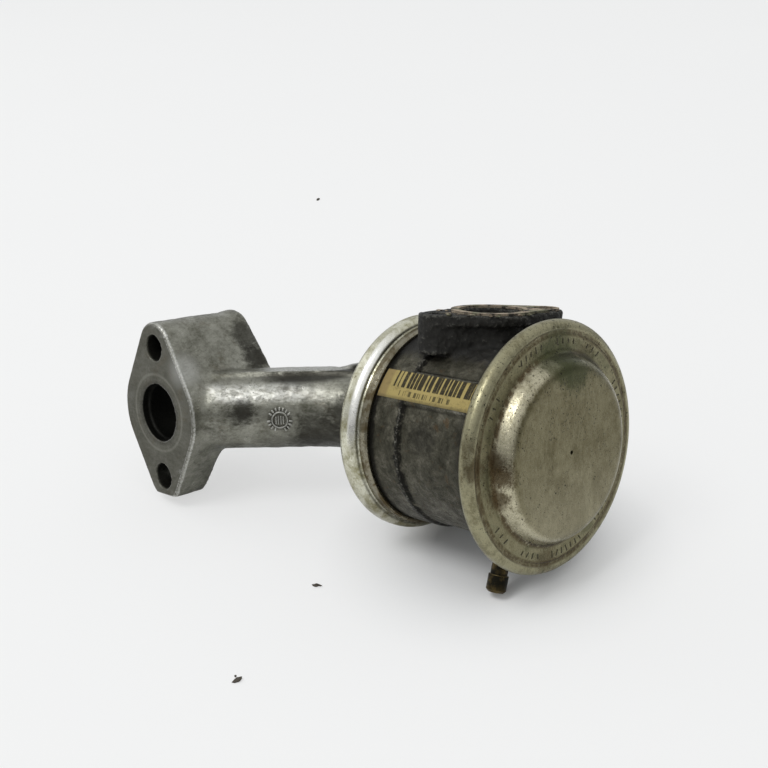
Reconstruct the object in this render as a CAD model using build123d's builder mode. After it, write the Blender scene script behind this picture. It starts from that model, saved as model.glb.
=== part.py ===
from build123d import *
import os
from math import atan, cos, degrees, radians, sin, sqrt, tan

# Vacuum-operated air/EGR shut-off valve: a drum-shaped diaphragm valve with a non-return
# valve behind it and an elbow that ends in a two-bolt flange.
# Frame: origin at the bore centre on the flange face, -Y out of that face, +Z up along the
# bolt line, +X along the drum axis towards the vacuum cap. Millimetres.

# ---- Driving dimensions --------------------------------------------------------------

# Layout
drum_y = 45.0                 # flange face to drum axis
drum_x = 72.6                 # flange centre to the back of the clamped drum rim
drum_r = 28.2                 # valve housing, outside
wall = 3.0                    # die-cast wall of the housing
sheet = 1.0                   # pressed steel thickness

# Mounting flange and its two ears
bolt_spacing = 42.5
bolt_hole_r = 4.25
spigot_step = 0.4             # how much wider the machined mouth is than the bore
spigot_depth = 3.0
flange_land = 6.2             # between the pipe's skin and the flange's side corner
ear_wall = 3.95               # round a bolt hole
upper_ear_depth = 33.0        # at its top; the back face leans away below it
lower_ear_depth = 11.3        # at its foot
back_depth = 35.4             # the block's back behind the pipe
ear_foot_lean = 3.8           # how much deeper the lower ear is where it meets the pipe
ear_foot_fillet = 3.2
ear_back_fillet = 1.5
foot_land = 6.35              # the lower ear is faced off this far below its bolt
ear_flat = 0.15               # dressed off the upper ear's ridge
waist_depth = 27.5            # the block's wall draws in as far as this, then flares out again
waist_inset = 0.7
flange_edge = 3.0             # straight edge of the flange before the draft starts
face_chamfer = 0.7

# Outlet pipe
pipe_bore_r = 9.0
pipe_wall = 3.5
pipe_angle = 42.0             # from the drum axis, in plan
pipe_bend_r = 40.0
pipe_start_y = 10.0           # the pipe's skin starts this deep in the flange block
bore_turn_y = 6.5             # the bore leaves the spigot's line this deep
bore_turn_r = 8.0
bell_start = 14.5             # the bell starts this far behind the drum rim
rib_front = 3.8               # the rib's front edge, from the pipe's centre line
rib_back = 2.4                # its back wall, to the other side of that line
rib_foot = 2.0                # how much wider the rib is at the pipe than on top
rib_height = 0.6              # above the pipe's skin
rib_rise = 7.0                # how much it climbs on its way up the bell
rib_rise_from = 31.0          # where it starts to climb, behind the drum rim

# Clamped rims at the outlet end
rim_step = 2.1                # clamped rims stand this far above the band
outlet_rim = 1.9
housing_rim = 1.7
crimp_bead = 3.0              # outer corner radius of the crimp ring
crimp_skirt = 4.5             # part of the ring that lies along the housing
rim_fit = 0.15                # radial clearance of parts laid inside a crimp
band_step = 0.9               # housing band next to the crimp ring, above the drum
band_end = 93.0               # where the band steps down to the drum

# Non-return valve
check_plate_t = 1.0
check_port_r = 3.6
check_port_pitch_r = 11.5
check_ports = 6
check_lap = 1.9               # how far the disc reaches past the ports
check_disc_t = 0.6
check_lift = 2.5
check_collar_r = 4.0
check_rivet_r = 1.9
check_stop_inset = 4.0        # from the disc's edge
check_stop_back = 3.6         # the stop's hub sits this far behind its rim
check_spring_wire = 0.7
check_spring_gap = 0.75       # between the spring and its collar
check_spring_turns = 3.0
rim_seal_inset = 2.9          # from the rim's edge to the seal's middle
rim_seal_w = 1.2

# Valve seat, disc and stem
seat_x = 85.6
seat_lip = 0.6
seat_bore_r = 11.0
seat_ring_w = 2.6
seat_ring_l = 2.6
seat_wall = 3.3
disc_lap = 0.6                # how far the disc reaches past the seat ring
disc_seal_t = 1.4
disc_t = 1.0
washer_inset = 5.2            # from the disc's edge
washer_t = 0.8
valve_lift = 4.8
stem_r = 3.0
tenon_step = 0.8              # riveted ends are this much thinner than the stem
head_t = 1.0
head_lap = 0.9                # riveted heads stand out past the stem

# Partition between the inlet chamber and the vacuum chamber
partition_x = 112.1           # its vacuum side
partition_t = 2.0
hub_wall = 1.8                # round the seal pocket
hub_l = 10.0
bush_wall = 1.6
bush_flange_lap = 1.8
bush_flange_t = 0.9
stem_seal_w = 3.2             # from the stem to the seal's outside
stem_seal_l = 3.0
spring_seat_wall = 1.0        # rim that stands round the spring's foot
spring_seat_gap = 0.95        # between that rim and the spring

# Diaphragm stack and return spring
convolution = 7.2             # annular gap that the diaphragm rolls in
membrane = 0.9
bead_t = 1.2
dish_skirt = 4.2
backing_inset = 3.0           # from the dish's edge
spring_r = 12.0
spring_wire = 1.3
spring_turns = 3.5

# Vacuum cap
cap_rim_x = 123.7             # widest line of the rolled rim
cap_overhang = 7.8            # rim beyond the drum's radius
cap_bead = 2.4
dome_height = 5.5
dome_inset = 8.8              # from the rim's widest line to the foot of the dome
dome_slope = 2.6              # how much the dome's wall leans in
dome_edge = 4.0
dome_root = 1.8               # hollow radius where the dome rises from the flat ring
vent_r = 0.6                  # vent hole in the middle of the dome
rim_groove = 0.25

# Inlet boss
port_x = 101.2
port_r = 8.7
port_depth_in = 5.0           # the port's cut runs this far into the chamber
boss_rise = 7.7               # inlet face above the drum's skin
boss_lean = 4.0               # degrees back from +Z, about the drum axis
ear_angle = 64.5              # bolt line of the inlet face, from the drum axis
inlet_bolt_spacing = 33.0
pad_wall = 2.8                # round an inlet thread
pad_depth = 11.2
plate_land = 3.7              # flange plate round the port
plate_t = 3.1
neck_wall = 1.9
inlet_thread_r = 2.5
inlet_thread_depth = 10.0
gasket_t = 0.7
gasket_land = 2.9             # gasket round the port
gasket_ear_inset = 0.9        # its ear, inside the bolt pad's edge

# Vacuum nipple
nipple_x = 114.8
nipple_angle = 18.3           # from -Z towards the flange side
nipple_length = 14.9          # from the drum's skin to its tip
nipple_barb_r = 2.9
nipple_step = 0.45            # how much thinner it is behind its barb
nipple_barb_l = 5.0
nipple_bore_r = 1.25
nipple_boss_wall = 2.15
nipple_boss_h = 1.4

# Label
label_from = 82.2
label_width = 8.6
label_angle = 37.0            # its middle, from the flange side up
label_t = 0.15
label_pad_margin = 1.2

# Fits
running = 0.04                # radial clearance of what slides
seated = 0.03                 # radial clearance of what is pressed or riveted
hang = 0.3                    # clearance of soft parts from what they hang beside

# ---- Derived stations and radii --------------------------------------------------------

bolt_z = bolt_spacing / 2
ear_r = bolt_hole_r + ear_wall
foot_drop = bolt_z + foot_land
pipe_r = pipe_bore_r + pipe_wall
spigot_r = pipe_bore_r + spigot_step
flange_half_width = pipe_r + flange_land
rib_top = pipe_r + rib_height
band_r = drum_r + band_step
rim_r = band_r + rim_step
rim_seal_r = rim_r - rim_seal_inset
outlet_face = drum_x + outlet_rim                  # joint of outlet casting and check plate
housing_face = outlet_face + check_plate_t
crimp_fold = housing_face + housing_rim            # where the ring folds over the housing rim
bell_root_r = band_r - 1.2                         # widest part of the bell behind its rim
crimp_end = crimp_fold + crimp_skirt
crimp_outer_r = rim_r + rim_fit + 1.25 * sheet
chamber_r = drum_r - wall
check_disc_r = check_port_pitch_r + check_port_r + check_lap
check_stop_r = check_disc_r - check_stop_inset
check_spring_r = check_collar_r + check_spring_gap + check_spring_wire / 2
seat_wall_x = seat_x + seat_lip
seat_ring_r = seat_bore_r + seat_ring_w
disc_r = seat_ring_r + disc_lap
washer_r = disc_r - washer_inset
tenon_r = stem_r - tenon_step
head_r = stem_r + head_lap
bush_r = stem_r + bush_wall
bush_flange_r = bush_r + bush_flange_lap
stem_seal_r = stem_r + stem_seal_w
hub_r = stem_seal_r + hub_wall
inlet_chamber_x = seat_wall_x + seat_wall
partition_back = partition_x - partition_t
hub_x = partition_back - hub_l
cap_r = drum_r + cap_overhang
dome_base_r = cap_r - dome_inset
dome_top_r = dome_base_r - dome_slope
cap_back = cap_rim_x - cap_bead
cap_face = cap_rim_x + cap_bead
cap_top = cap_face + dome_height
pocket_r = cap_r - 1.4 * sheet
lip_r = pocket_r - 3.1
flange_x = cap_back + sheet                        # housing flange, its outlet side
membrane_x = cap_face - sheet - bead_t             # housing flange meets the diaphragm
dish_r = chamber_r - convolution
backing_r = dish_r - backing_inset
spring_seat_r = spring_r + spring_wire / 2 + spring_seat_gap + spring_seat_wall
dish_x = membrane_x + bead_t + 0.5 * sheet         # dish face under the diaphragm
spring_foot = partition_x + sheet
disc_x = seat_x - disc_seal_t - disc_t             # outlet side of the valve disc
stem_left = disc_x - washer_t - head_t
backing_x = dish_x + membrane
stem_right = backing_x + sheet + head_t
check_disc_x = outlet_face - check_disc_t
check_stop_rim = check_disc_x - check_lift - 0.1
check_stop_x = check_stop_rim - check_stop_back - sheet
label_pad_r = band_r
boss_height = drum_r + boss_rise                   # drum axis to the inlet face
pad_r = inlet_thread_r + pad_wall
plate_r = port_r + plate_land
gasket_r = port_r + gasket_land
gasket_ear_r = pad_r - gasket_ear_inset
nipple_reach = drum_r + nipple_length              # drum axis to the nipple's tip
nipple_r = nipple_barb_r - nipple_step
nipple_boss_r = nipple_r + nipple_boss_wall

drum_axis = Axis((0, drum_y, 0), (1, 0, 0))
drum_section = Plane(origin=(0, drum_y, 0), x_dir=(1, 0, 0), z_dir=(0, -1, 0))
flange_plane = Plane(origin=(0, 0, 0), x_dir=(1, 0, 0), z_dir=(0, -1, 0))


def across_drum(x):
    """Plane across the drum at station x, facing the cap, with its Y axis up."""
    return Plane(origin=(x, drum_y, 0), x_dir=(0, 1, 0), z_dir=(1, 0, 0))


def outline(*points):
    """Closed outline of (station, radius) points in the drum's section plane."""
    with BuildSketch(drum_section) as section:
        with BuildLine():
            Polyline(*points, close=True)
        make_face()
    return section.sketch


def ring(x1, x2, r1, r2):
    """Section of a plain ring between two stations and two radii."""
    return outline((x1, r1), (x2, r1), (x2, r2), (x1, r2))


def corner(sketch, x, y):
    """Corner of a sketch nearest a point of its own plane."""
    return sketch.vertices().sort_by_distance((x, y))[0]


def coil(x1, x2, mean_r, wire, turns):
    """Coil spring that touches stations x1 and x2; its wire is a six-sided bar."""
    length = x2 - x1 - wire
    path = Helix(pitch=length / turns, height=length, radius=mean_r,
                 center=(x1 + wire / 2, drum_y, 0), direction=(1, 0, 0), mode=Mode.PRIVATE)
    with BuildSketch(Plane(path @ 0, z_dir=path % 0)) as section:
        RegularPolygon(wire / 2, 6)
    sweep(section.sketch, path=path, is_frenet=True)


def finish(part, name):
    """Label one finished piece and write it to its own STEP file."""
    part.label = name
    export_step(part, f"parts/{name}.step")


os.makedirs("parts", exist_ok=True)

# ---- Outlet casting --------------------------------------------------------------------

turn_x = drum_y / tan(radians(pipe_angle)) - 4.0    # where the pipe's line meets the drum axis
pipe_start_x = turn_x - (drum_y - pipe_start_y) / tan(radians(pipe_angle))
bell_x = drum_x - bell_start
ear_top = bolt_z + ear_r - ear_flat
along = (cos(radians(pipe_angle)), sin(radians(pipe_angle)), 0)
across = (-along[1], along[0], 0)
bell_neck_x = bell_x + 3
bell_neck_r = pipe_r + 1
bell_lip_x = drum_x - 2.2
bell_lip_r = bell_root_r - 1.2
flare = (bell_lip_r - bell_neck_r) / (bell_lip_x - bell_neck_x)
cone_end_x = drum_x - 0.8
cone_end_r = pipe_bore_r + flare * (cone_end_x - bell_neck_x)


def diamond(depth, inset=0):
    """Two-eared outline of the flange block at a depth, drawn in by an inset."""
    with BuildSketch(flange_plane.offset(-depth)) as section:
        Circle(flange_half_width - inset)
        with Locations((0, bolt_z), (0, -bolt_z)):
            Circle(ear_r - inset)
        make_hull()
    return section.sketch


with BuildPart() as outlet_casting:
    # Flange block: a diamond that draws in behind the flange and flares out again at its back
    extrude(diamond(0), amount=-flange_edge)
    chamfer(outlet_casting.edges().group_by(Axis.Y)[0], face_chamfer)
    loft([diamond(flange_edge).face(), diamond(waist_depth, waist_inset).face(),
          diamond(back_depth + 1).face()], ruled=True)

    # Side profile: the upper ear runs deep, the lower ear is short
    with BuildSketch(Plane.YZ.offset(-2 * flange_half_width)) as side:
        with BuildLine():
            Polyline((-1, ear_top), (-1, -foot_drop), (lower_ear_depth, -foot_drop),
                     (lower_ear_depth + ear_foot_lean, -pipe_r), (back_depth, -pipe_r),
                     (back_depth, pipe_r - 2), (upper_ear_depth, ear_top), close=True)
        make_face()
        fillet(corner(side, lower_ear_depth + ear_foot_lean, -pipe_r), ear_foot_fillet)
        fillet(corner(side, upper_ear_depth, ear_top), ear_back_fillet)
    extrude(amount=4 * flange_half_width, mode=Mode.INTERSECT)

    # Pipe with a rib along its top: a straight run that bends onto the drum axis
    with BuildLine(Plane.XY) as pipe_line:
        FilletPolyline((pipe_start_x, pipe_start_y), (turn_x, drum_y),
                       (drum_x - 2, drum_y), radius=pipe_bend_r)
    with BuildSketch(Plane(pipe_line.line @ 0, x_dir=across, z_dir=along)):
        Circle(pipe_r)
    sweep(path=pipe_line.line)
    with BuildSketch(Plane(pipe_line.line @ 0, x_dir=across, z_dir=along)):
        with BuildLine():
            Polyline((-rib_front - rib_foot, 0), (-rib_front - rib_foot, rib_top - 2.8),
                     (-rib_front, rib_top), (rib_back, rib_top), (rib_back, 0), close=True)
        make_face()
    sweep(path=pipe_line.line)
    with BuildSketch(Plane.XZ.offset(rib_front - drum_y)):
        with BuildLine():
            Polyline((drum_x - rib_rise_from, rib_top - 2), (drum_x - rib_rise_from, rib_top),
                     (drum_x - 1, rib_top + rib_rise), (drum_x - 1, rib_top - 2), close=True)
        make_face()
    extrude(amount=-rib_front - rib_back)

    # Bell that opens out to the clamped rim
    revolve(outline((bell_x - 5, 0), (bell_x - 5, pipe_r - 2.5), (bell_x - 1, pipe_r - 0.3),
                    (bell_neck_x, bell_neck_r), (bell_lip_x, bell_lip_r),
                    (drum_x, bell_root_r), (drum_x, rim_r),
                    (outlet_face, rim_r), (outlet_face, 0)), axis=drum_axis)

    # Bore: spigot mouth, turn, run and cone
    with BuildLine(Plane.XY) as bore_line:
        FilletPolyline((0, -1), (0, bore_turn_y), (turn_x, drum_y), (bell_x + 5, drum_y),
                       radius=(bore_turn_r, pipe_bend_r))
    with BuildSketch(Plane(bore_line.line @ 0, z_dir=bore_line.line % 0)):
        Circle(pipe_bore_r)
    sweep(path=bore_line.line, mode=Mode.SUBTRACT)
    with BuildSketch(flange_plane):
        Circle(spigot_r)
    extrude(amount=-spigot_depth, mode=Mode.SUBTRACT)
    revolve(outline((bell_neck_x - 2, 0), (bell_neck_x - 2, pipe_bore_r - 2 * flare),
                    (cone_end_x, cone_end_r), (outlet_face + 1, cone_end_r),
                    (outlet_face + 1, 0)), axis=drum_axis, mode=Mode.SUBTRACT)
    revolve(ring(outlet_face - rim_seal_w, outlet_face + 1,
                 rim_seal_r - rim_seal_w / 2 - seated, rim_seal_r + rim_seal_w / 2 + seated),
            axis=drum_axis, mode=Mode.SUBTRACT)

    # Bolt holes
    with BuildSketch(flange_plane):
        with Locations((0, bolt_z), (0, -bolt_z)):
            Circle(bolt_hole_r)
    extrude(amount=-back_depth, mode=Mode.SUBTRACT)
finish(outlet_casting.part, "outlet_casting")

# ---- Crimp ring at the outlet end --------------------------------------------------------

ring_back = drum_x - 1.2 * sheet
ring_lip_r = bell_root_r + rim_fit
skirt_r = band_r + rim_fit + 1.2 * sheet
with BuildPart() as outlet_crimp_ring:
    with BuildSketch(drum_section):
        with BuildLine():
            inner_lip = (ring_back, ring_lip_r)
            back_corner = (ring_back, crimp_outer_r - crimp_bead)
            top_start = (ring_back + crimp_bead, crimp_outer_r)
            top_end = (crimp_fold - 1.0, crimp_outer_r)
            fold_end = (crimp_fold + 1.2 * sheet, skirt_r + 0.2)
            Line(inner_lip, back_corner)
            RadiusArc(back_corner, top_start, crimp_bead)
            Line(top_start, top_end)
            RadiusArc(top_end, fold_end, 2.3)
            Polyline(fold_end, (crimp_fold + 1.7 * sheet, skirt_r), (crimp_end - 0.5, skirt_r),
                     (crimp_end, skirt_r - 0.5), (crimp_end, band_r + rim_fit),
                     (crimp_fold, band_r + rim_fit), (crimp_fold, rim_r + rim_fit),
                     (drum_x, rim_r + rim_fit), (drum_x, ring_lip_r), inner_lip)
        make_face()
    revolve(axis=drum_axis)
finish(outlet_crimp_ring.part, "outlet_crimp_ring")

# ---- Non-return valve ----------------------------------------------------------------------

with BuildPart() as rim_seal:
    revolve(ring(outlet_face - rim_seal_w, outlet_face,
                 rim_seal_r - rim_seal_w / 2, rim_seal_r + rim_seal_w / 2), axis=drum_axis)
finish(rim_seal.part, "rim_seal")

with BuildPart() as check_plate:
    with BuildSketch(across_drum(outlet_face)):
        Circle(rim_r)
        Circle(check_rivet_r + seated, mode=Mode.SUBTRACT)
        with PolarLocations(check_port_pitch_r, check_ports):
            Circle(check_port_r, mode=Mode.SUBTRACT)
    extrude(amount=check_plate_t)
finish(check_plate.part, "check_plate")

with BuildPart() as check_disc:
    revolve(ring(check_disc_x, outlet_face, check_collar_r + running, check_disc_r), axis=drum_axis)
finish(check_disc.part, "check_disc")

with BuildPart() as check_stop:
    hub_out = check_collar_r + 2.2
    revolve(outline((check_stop_x, check_rivet_r + seated), (check_stop_x, hub_out),
                    (check_stop_rim - sheet, check_stop_r), (check_stop_rim, check_stop_r),
                    (check_stop_rim, check_stop_r - 1.2), (check_stop_x + sheet, hub_out),
                    (check_stop_x + sheet, check_rivet_r + seated)), axis=drum_axis)
    with BuildSketch(across_drum(check_stop_x)):
        with PolarLocations(check_stop_r, 3):
            Circle(0.45 * check_stop_r)
    extrude(amount=2 * check_stop_back, mode=Mode.SUBTRACT)
finish(check_stop.part, "check_stop")

with BuildPart() as check_collar:
    revolve(ring(check_stop_x + sheet, outlet_face, check_rivet_r + seated, check_collar_r),
            axis=drum_axis)
finish(check_collar.part, "check_collar")

with BuildPart() as check_rivet:
    revolve(outline((check_stop_x - 1.0, 0), (check_stop_x - 1.0, 2.6), (check_stop_x, 3.2),
                    (check_stop_x, check_rivet_r), (housing_face, check_rivet_r),
                    (housing_face, 3.2), (housing_face + 0.7, 2.6), (housing_face + 0.7, 0)),
            axis=drum_axis)
finish(check_rivet.part, "check_rivet")

with BuildPart() as check_spring:
    coil(check_stop_x + sheet, check_disc_x, check_spring_r, check_spring_wire,
         check_spring_turns)
finish(check_spring.part, "check_spring")

# ---- Valve housing -------------------------------------------------------------------------

lean = radians(boss_lean)
boss_frame = Plane(origin=(port_x, drum_y, 0), x_dir=(1, 0, 0), z_dir=(0, sin(lean), cos(lean)))
inlet_face = boss_frame.offset(boss_height)
ear_u = inlet_bolt_spacing / 2 * cos(radians(ear_angle))
ear_v = inlet_bolt_spacing / 2 * sin(radians(ear_angle))
neck_r = port_r + neck_wall
nip = radians(nipple_angle)
nipple_frame = Plane(origin=(nipple_x, drum_y, 0), x_dir=(1, 0, 0), z_dir=(0, -sin(nip), -cos(nip)))
half_label = degrees(atan(label_width / 2 / label_pad_r))


def section_at(angle):
    """Section plane of the drum at an angle from the flange side up."""
    a = radians(angle)
    return Plane(origin=(0, drum_y, 0), x_dir=(1, 0, 0), z_dir=(0, -sin(a), -cos(a)))


with BuildPart() as valve_housing:
    # Drum with its band, its rim at the outlet end and its flange under the cap
    revolve(outline((housing_face, 0), (housing_face, rim_r), (crimp_fold, rim_r),
                    (crimp_fold, band_r), (band_end - 0.4, band_r), (band_end, drum_r),
                    (cap_back - 2.4, drum_r), (cap_back - 0.6, lip_r - 0.8),
                    (flange_x, lip_r - 0.4), (flange_x, pocket_r - rim_fit),
                    (membrane_x, pocket_r - rim_fit), (membrane_x, 0)), axis=drum_axis)

    # Raised pad that the label lies on
    with BuildSketch(section_at(label_angle + half_label + 1.5)):
        with Locations((band_end - 1, drum_r - 1)):
            Rectangle(cap_back - 3.4 - band_end, label_pad_r - drum_r + 1,
                      align=(Align.MIN, Align.MIN))
    revolve(axis=drum_axis, revolution_arc=2 * half_label + 3)

    # Inlet boss: neck, two deep bolt pads joined to it, and the flange plate
    with BuildSketch(inlet_face):
        Circle(neck_r)
    extrude(amount=-(boss_height - chamber_r + 4))
    with BuildSketch(inlet_face):
        Circle(neck_r - 1.8)
        with Locations((ear_u, ear_v), (-ear_u, -ear_v)):
            Circle(pad_r)
        make_hull()
    extrude(amount=-pad_depth)
    with BuildSketch(inlet_face):
        Circle(plate_r)
        with Locations((ear_u, ear_v), (-ear_u, -ear_v)):
            Circle(pad_r)
        make_hull()
    extrude(amount=-plate_t)

    # Boss for the vacuum nipple
    with BuildSketch(nipple_frame.offset(chamber_r + 1)):
        Circle(nipple_boss_r)
    extrude(amount=wall - 1 + nipple_boss_h, taper=6)

    # Outlet chamber, seat and inlet chamber
    revolve(ring(housing_face, seat_wall_x, 0, chamber_r), axis=drum_axis, mode=Mode.SUBTRACT)
    revolve(ring(seat_wall_x, seat_wall_x + seat_ring_l - seat_lip, 0, seat_ring_r + seated),
            axis=drum_axis, mode=Mode.SUBTRACT)
    revolve(ring(seat_wall_x, inlet_chamber_x, 0, seat_bore_r), axis=drum_axis, mode=Mode.SUBTRACT)
    revolve(outline((inlet_chamber_x, 0), (inlet_chamber_x, chamber_r), (partition_back, chamber_r),
                    (partition_back, hub_r + 1), (partition_back - 1, hub_r), (hub_x, hub_r),
                    (hub_x, 0)), axis=drum_axis, mode=Mode.SUBTRACT)

    # Seal pocket and bush bore through the hub
    revolve(ring(hub_x, hub_x + stem_seal_l + sheet, 0, stem_seal_r + seated),
            axis=drum_axis, mode=Mode.SUBTRACT)
    revolve(ring(hub_x, partition_x, 0, bush_r + seated), axis=drum_axis, mode=Mode.SUBTRACT)

    # Vacuum chamber with an eased mouth
    revolve(outline((partition_x, 0), (partition_x, chamber_r), (membrane_x - 0.8, chamber_r),
                    (membrane_x, chamber_r + 0.8), (membrane_x, 0)),
            axis=drum_axis, mode=Mode.SUBTRACT)

    # Inlet port, inlet threads and nipple hole
    with BuildSketch(inlet_face):
        Circle(port_r)
    extrude(amount=-(boss_height - chamber_r + port_depth_in), mode=Mode.SUBTRACT)
    with BuildSketch(inlet_face):
        with Locations((ear_u, ear_v), (-ear_u, -ear_v)):
            Circle(inlet_thread_r)
    extrude(amount=-inlet_thread_depth, mode=Mode.SUBTRACT)
    with BuildSketch(nipple_frame.offset(chamber_r - 2)):
        Circle(nipple_r + seated)
    extrude(amount=wall + nipple_boss_h + 4, mode=Mode.SUBTRACT)
finish(valve_housing.part, "valve_housing")

# ---- Seat, disc and stem -------------------------------------------------------------------

with BuildPart() as valve_seat:
    revolve(outline((seat_x, seat_bore_r + 0.6), (seat_x, seat_ring_r - 0.6),
                    (seat_wall_x, seat_ring_r), (seat_x + seat_ring_l, seat_ring_r),
                    (seat_x + seat_ring_l, seat_bore_r), (seat_wall_x, seat_bore_r)), axis=drum_axis)
finish(valve_seat.part, "valve_seat")

with BuildPart() as valve_disc_seal:
    revolve(outline((seat_x - disc_seal_t, stem_r + 3.4), (seat_x - disc_seal_t, disc_r),
                    (seat_x - 0.3, disc_r), (seat_x, disc_r - 0.3), (seat_x, stem_r + 3.4)),
            axis=drum_axis)
finish(valve_disc_seal.part, "valve_disc_seal")

with BuildPart() as valve_disc:
    revolve(outline((disc_x, tenon_r + seated), (disc_x, disc_r), (disc_x + disc_t, disc_r),
                    (disc_x + disc_t, stem_r + 3.3), (disc_x + disc_t + 0.8, stem_r + 3.3),
                    (disc_x + disc_t + 0.8, stem_r + 2.3), (disc_x + disc_t, stem_r + 2.3),
                    (disc_x + disc_t, tenon_r + seated)), axis=drum_axis)
finish(valve_disc.part, "valve_disc")

with BuildPart() as disc_support_washer:
    revolve(ring(disc_x - washer_t, disc_x, tenon_r + seated, washer_r), axis=drum_axis)
finish(disc_support_washer.part, "disc_support_washer")

with BuildPart() as valve_stem:
    revolve(outline((stem_left, 0), (stem_left, head_r - 0.6), (stem_left + head_t, head_r),
                    (stem_left + head_t, tenon_r), (disc_x + disc_t, tenon_r),
                    (disc_x + disc_t, stem_r), (dish_x - sheet, stem_r), (dish_x - sheet, tenon_r),
                    (stem_right - head_t, tenon_r), (stem_right - head_t, head_r),
                    (stem_right, head_r - 0.6), (stem_right, 0)), axis=drum_axis)
finish(valve_stem.part, "valve_stem")

# ---- Guide and seal of the stem ------------------------------------------------------------

with BuildPart() as guide_bush:
    revolve(outline((hub_x + stem_seal_l + sheet, stem_r + running),
                    (hub_x + stem_seal_l + sheet, bush_r), (partition_x, bush_r),
                    (partition_x, bush_flange_r), (partition_x + bush_flange_t, bush_flange_r),
                    (partition_x + bush_flange_t, stem_r + running)), axis=drum_axis)
finish(guide_bush.part, "guide_bush")

with BuildPart() as stem_seal:
    seal_x = hub_x + sheet
    revolve(outline((seal_x, stem_r + 1.2), (seal_x, stem_seal_r), (seal_x + stem_seal_l, stem_seal_r),
                    (seal_x + stem_seal_l, stem_r + 1.2), (seal_x + 1.8, stem_r + 1.2),
                    (seal_x + 1.3, stem_r + 0.09), (seal_x + 0.7, stem_r + 0.09)), axis=drum_axis)
finish(stem_seal.part, "stem_seal")

with BuildPart() as stem_seal_retainer:
    revolve(ring(hub_x, hub_x + sheet, stem_r + 1.0, stem_seal_r), axis=drum_axis)
finish(stem_seal_retainer.part, "stem_seal_retainer")

# ---- Return spring and its seat --------------------------------------------------------------

with BuildPart() as spring_seat:
    seat_in = bush_flange_r + 0.4
    revolve(outline((partition_x, seat_in), (partition_x, spring_seat_r),
                    (spring_foot + 1.2, spring_seat_r), (spring_foot + 1.2, spring_seat_r - sheet),
                    (spring_foot, spring_seat_r - sheet), (spring_foot, seat_in)), axis=drum_axis)
finish(spring_seat.part, "spring_seat")

with BuildPart() as return_spring:
    coil(spring_foot, dish_x - sheet, spring_r, spring_wire, spring_turns)
finish(return_spring.part, "return_spring")

# ---- Diaphragm and the plates that hold its middle ---------------------------------------------

with BuildPart() as diaphragm_dish:
    skirt_x = dish_x - dish_skirt - sheet
    revolve(outline((dish_x - sheet, tenon_r + seated), (dish_x - sheet, dish_r - sheet),
                    (skirt_x, dish_r - sheet), (skirt_x, dish_r), (dish_x, dish_r),
                    (dish_x, tenon_r + seated)), axis=drum_axis)
finish(diaphragm_dish.part, "diaphragm_dish")

with BuildPart() as diaphragm:
    outer_leg = chamber_r - hang
    inner_leg = dish_r + hang
    loop_r = (outer_leg - inner_leg) / 2
    loop_x = membrane_x - 2.6
    middle = (outer_leg + inner_leg) / 2
    bead_r = pocket_r - rim_fit
    top_x = membrane_x + bead_t
    with BuildSketch(drum_section):
        with BuildLine():
            Polyline((loop_x, outer_leg), (membrane_x - 0.7, outer_leg),
                     (membrane_x, outer_leg + 1.0), (membrane_x, bead_r), (top_x, bead_r),
                     (top_x, outer_leg - membrane), (loop_x, outer_leg - membrane))
            Polyline((loop_x, outer_leg - membrane), (loop_x - loop_r + membrane, middle + 0.8),
                     (loop_x - loop_r + membrane, middle - 0.8), (loop_x, inner_leg + membrane))
            Polyline((loop_x, inner_leg + membrane), (dish_x + membrane, inner_leg + membrane),
                     (dish_x + membrane, tenon_r + seated), (dish_x, tenon_r + seated),
                     (dish_x, inner_leg), (loop_x, inner_leg))
            Polyline((loop_x, inner_leg), (loop_x - loop_r, middle - 1.3),
                     (loop_x - loop_r, middle + 1.3), (loop_x, outer_leg))
        make_face()
    revolve(axis=drum_axis)
finish(diaphragm.part, "diaphragm")

with BuildPart() as diaphragm_backing_plate:
    revolve(outline((backing_x, tenon_r + seated), (backing_x, backing_r - 0.8),
                    (backing_x + 0.5, backing_r), (backing_x + sheet, backing_r - 0.3),
                    (backing_x + sheet, tenon_r + seated)), axis=drum_axis)
finish(diaphragm_backing_plate.part, "diaphragm_backing_plate")

# ---- Vacuum cap ---------------------------------------------------------------------------------

draft = (dome_base_r - dome_top_r) / dome_height
shift = sheet * (sqrt(1 + draft * draft))
inner_base_r = dome_base_r + draft * sheet - shift
inner_top_r = dome_top_r + draft * sheet - shift
rim_flat_r = cap_r - cap_bead

with BuildPart() as vacuum_cap:
    with BuildSketch(drum_section) as cap_section:
        with BuildLine():
            ThreePointArc((cap_back, rim_flat_r), (cap_rim_x, cap_r), (cap_face, rim_flat_r))
            Polyline((cap_face, rim_flat_r), (cap_face - rim_groove, rim_flat_r - 0.4),
                     (cap_face - rim_groove, rim_flat_r - 1.2), (cap_face, rim_flat_r - 1.6),
                     (cap_face, dome_base_r), (cap_top, dome_top_r), (cap_top, 0),
                     (cap_top - sheet, 0), (cap_top - sheet, inner_top_r),
                     (cap_face - sheet, inner_base_r), (cap_face - sheet, pocket_r),
                     (flange_x, pocket_r), (flange_x, lip_r), (cap_back, lip_r),
                     (cap_back, rim_flat_r))
        make_face()
        fillet(corner(cap_section, cap_top, dome_top_r), dome_edge)
        chamfer(corner(cap_section, cap_top - sheet, inner_top_r), 0.58 * (dome_edge - sheet))
        fillet(corner(cap_section, cap_face, dome_base_r), dome_root)
        chamfer(corner(cap_section, cap_face - sheet, inner_base_r), dome_root)
    revolve(axis=drum_axis)
    with BuildSketch(across_drum(cap_face)):
        Circle(vent_r)
    extrude(amount=2 * dome_height, mode=Mode.SUBTRACT)
finish(vacuum_cap.part, "vacuum_cap")

# ---- Vacuum nipple -----------------------------------------------------------------------------

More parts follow.
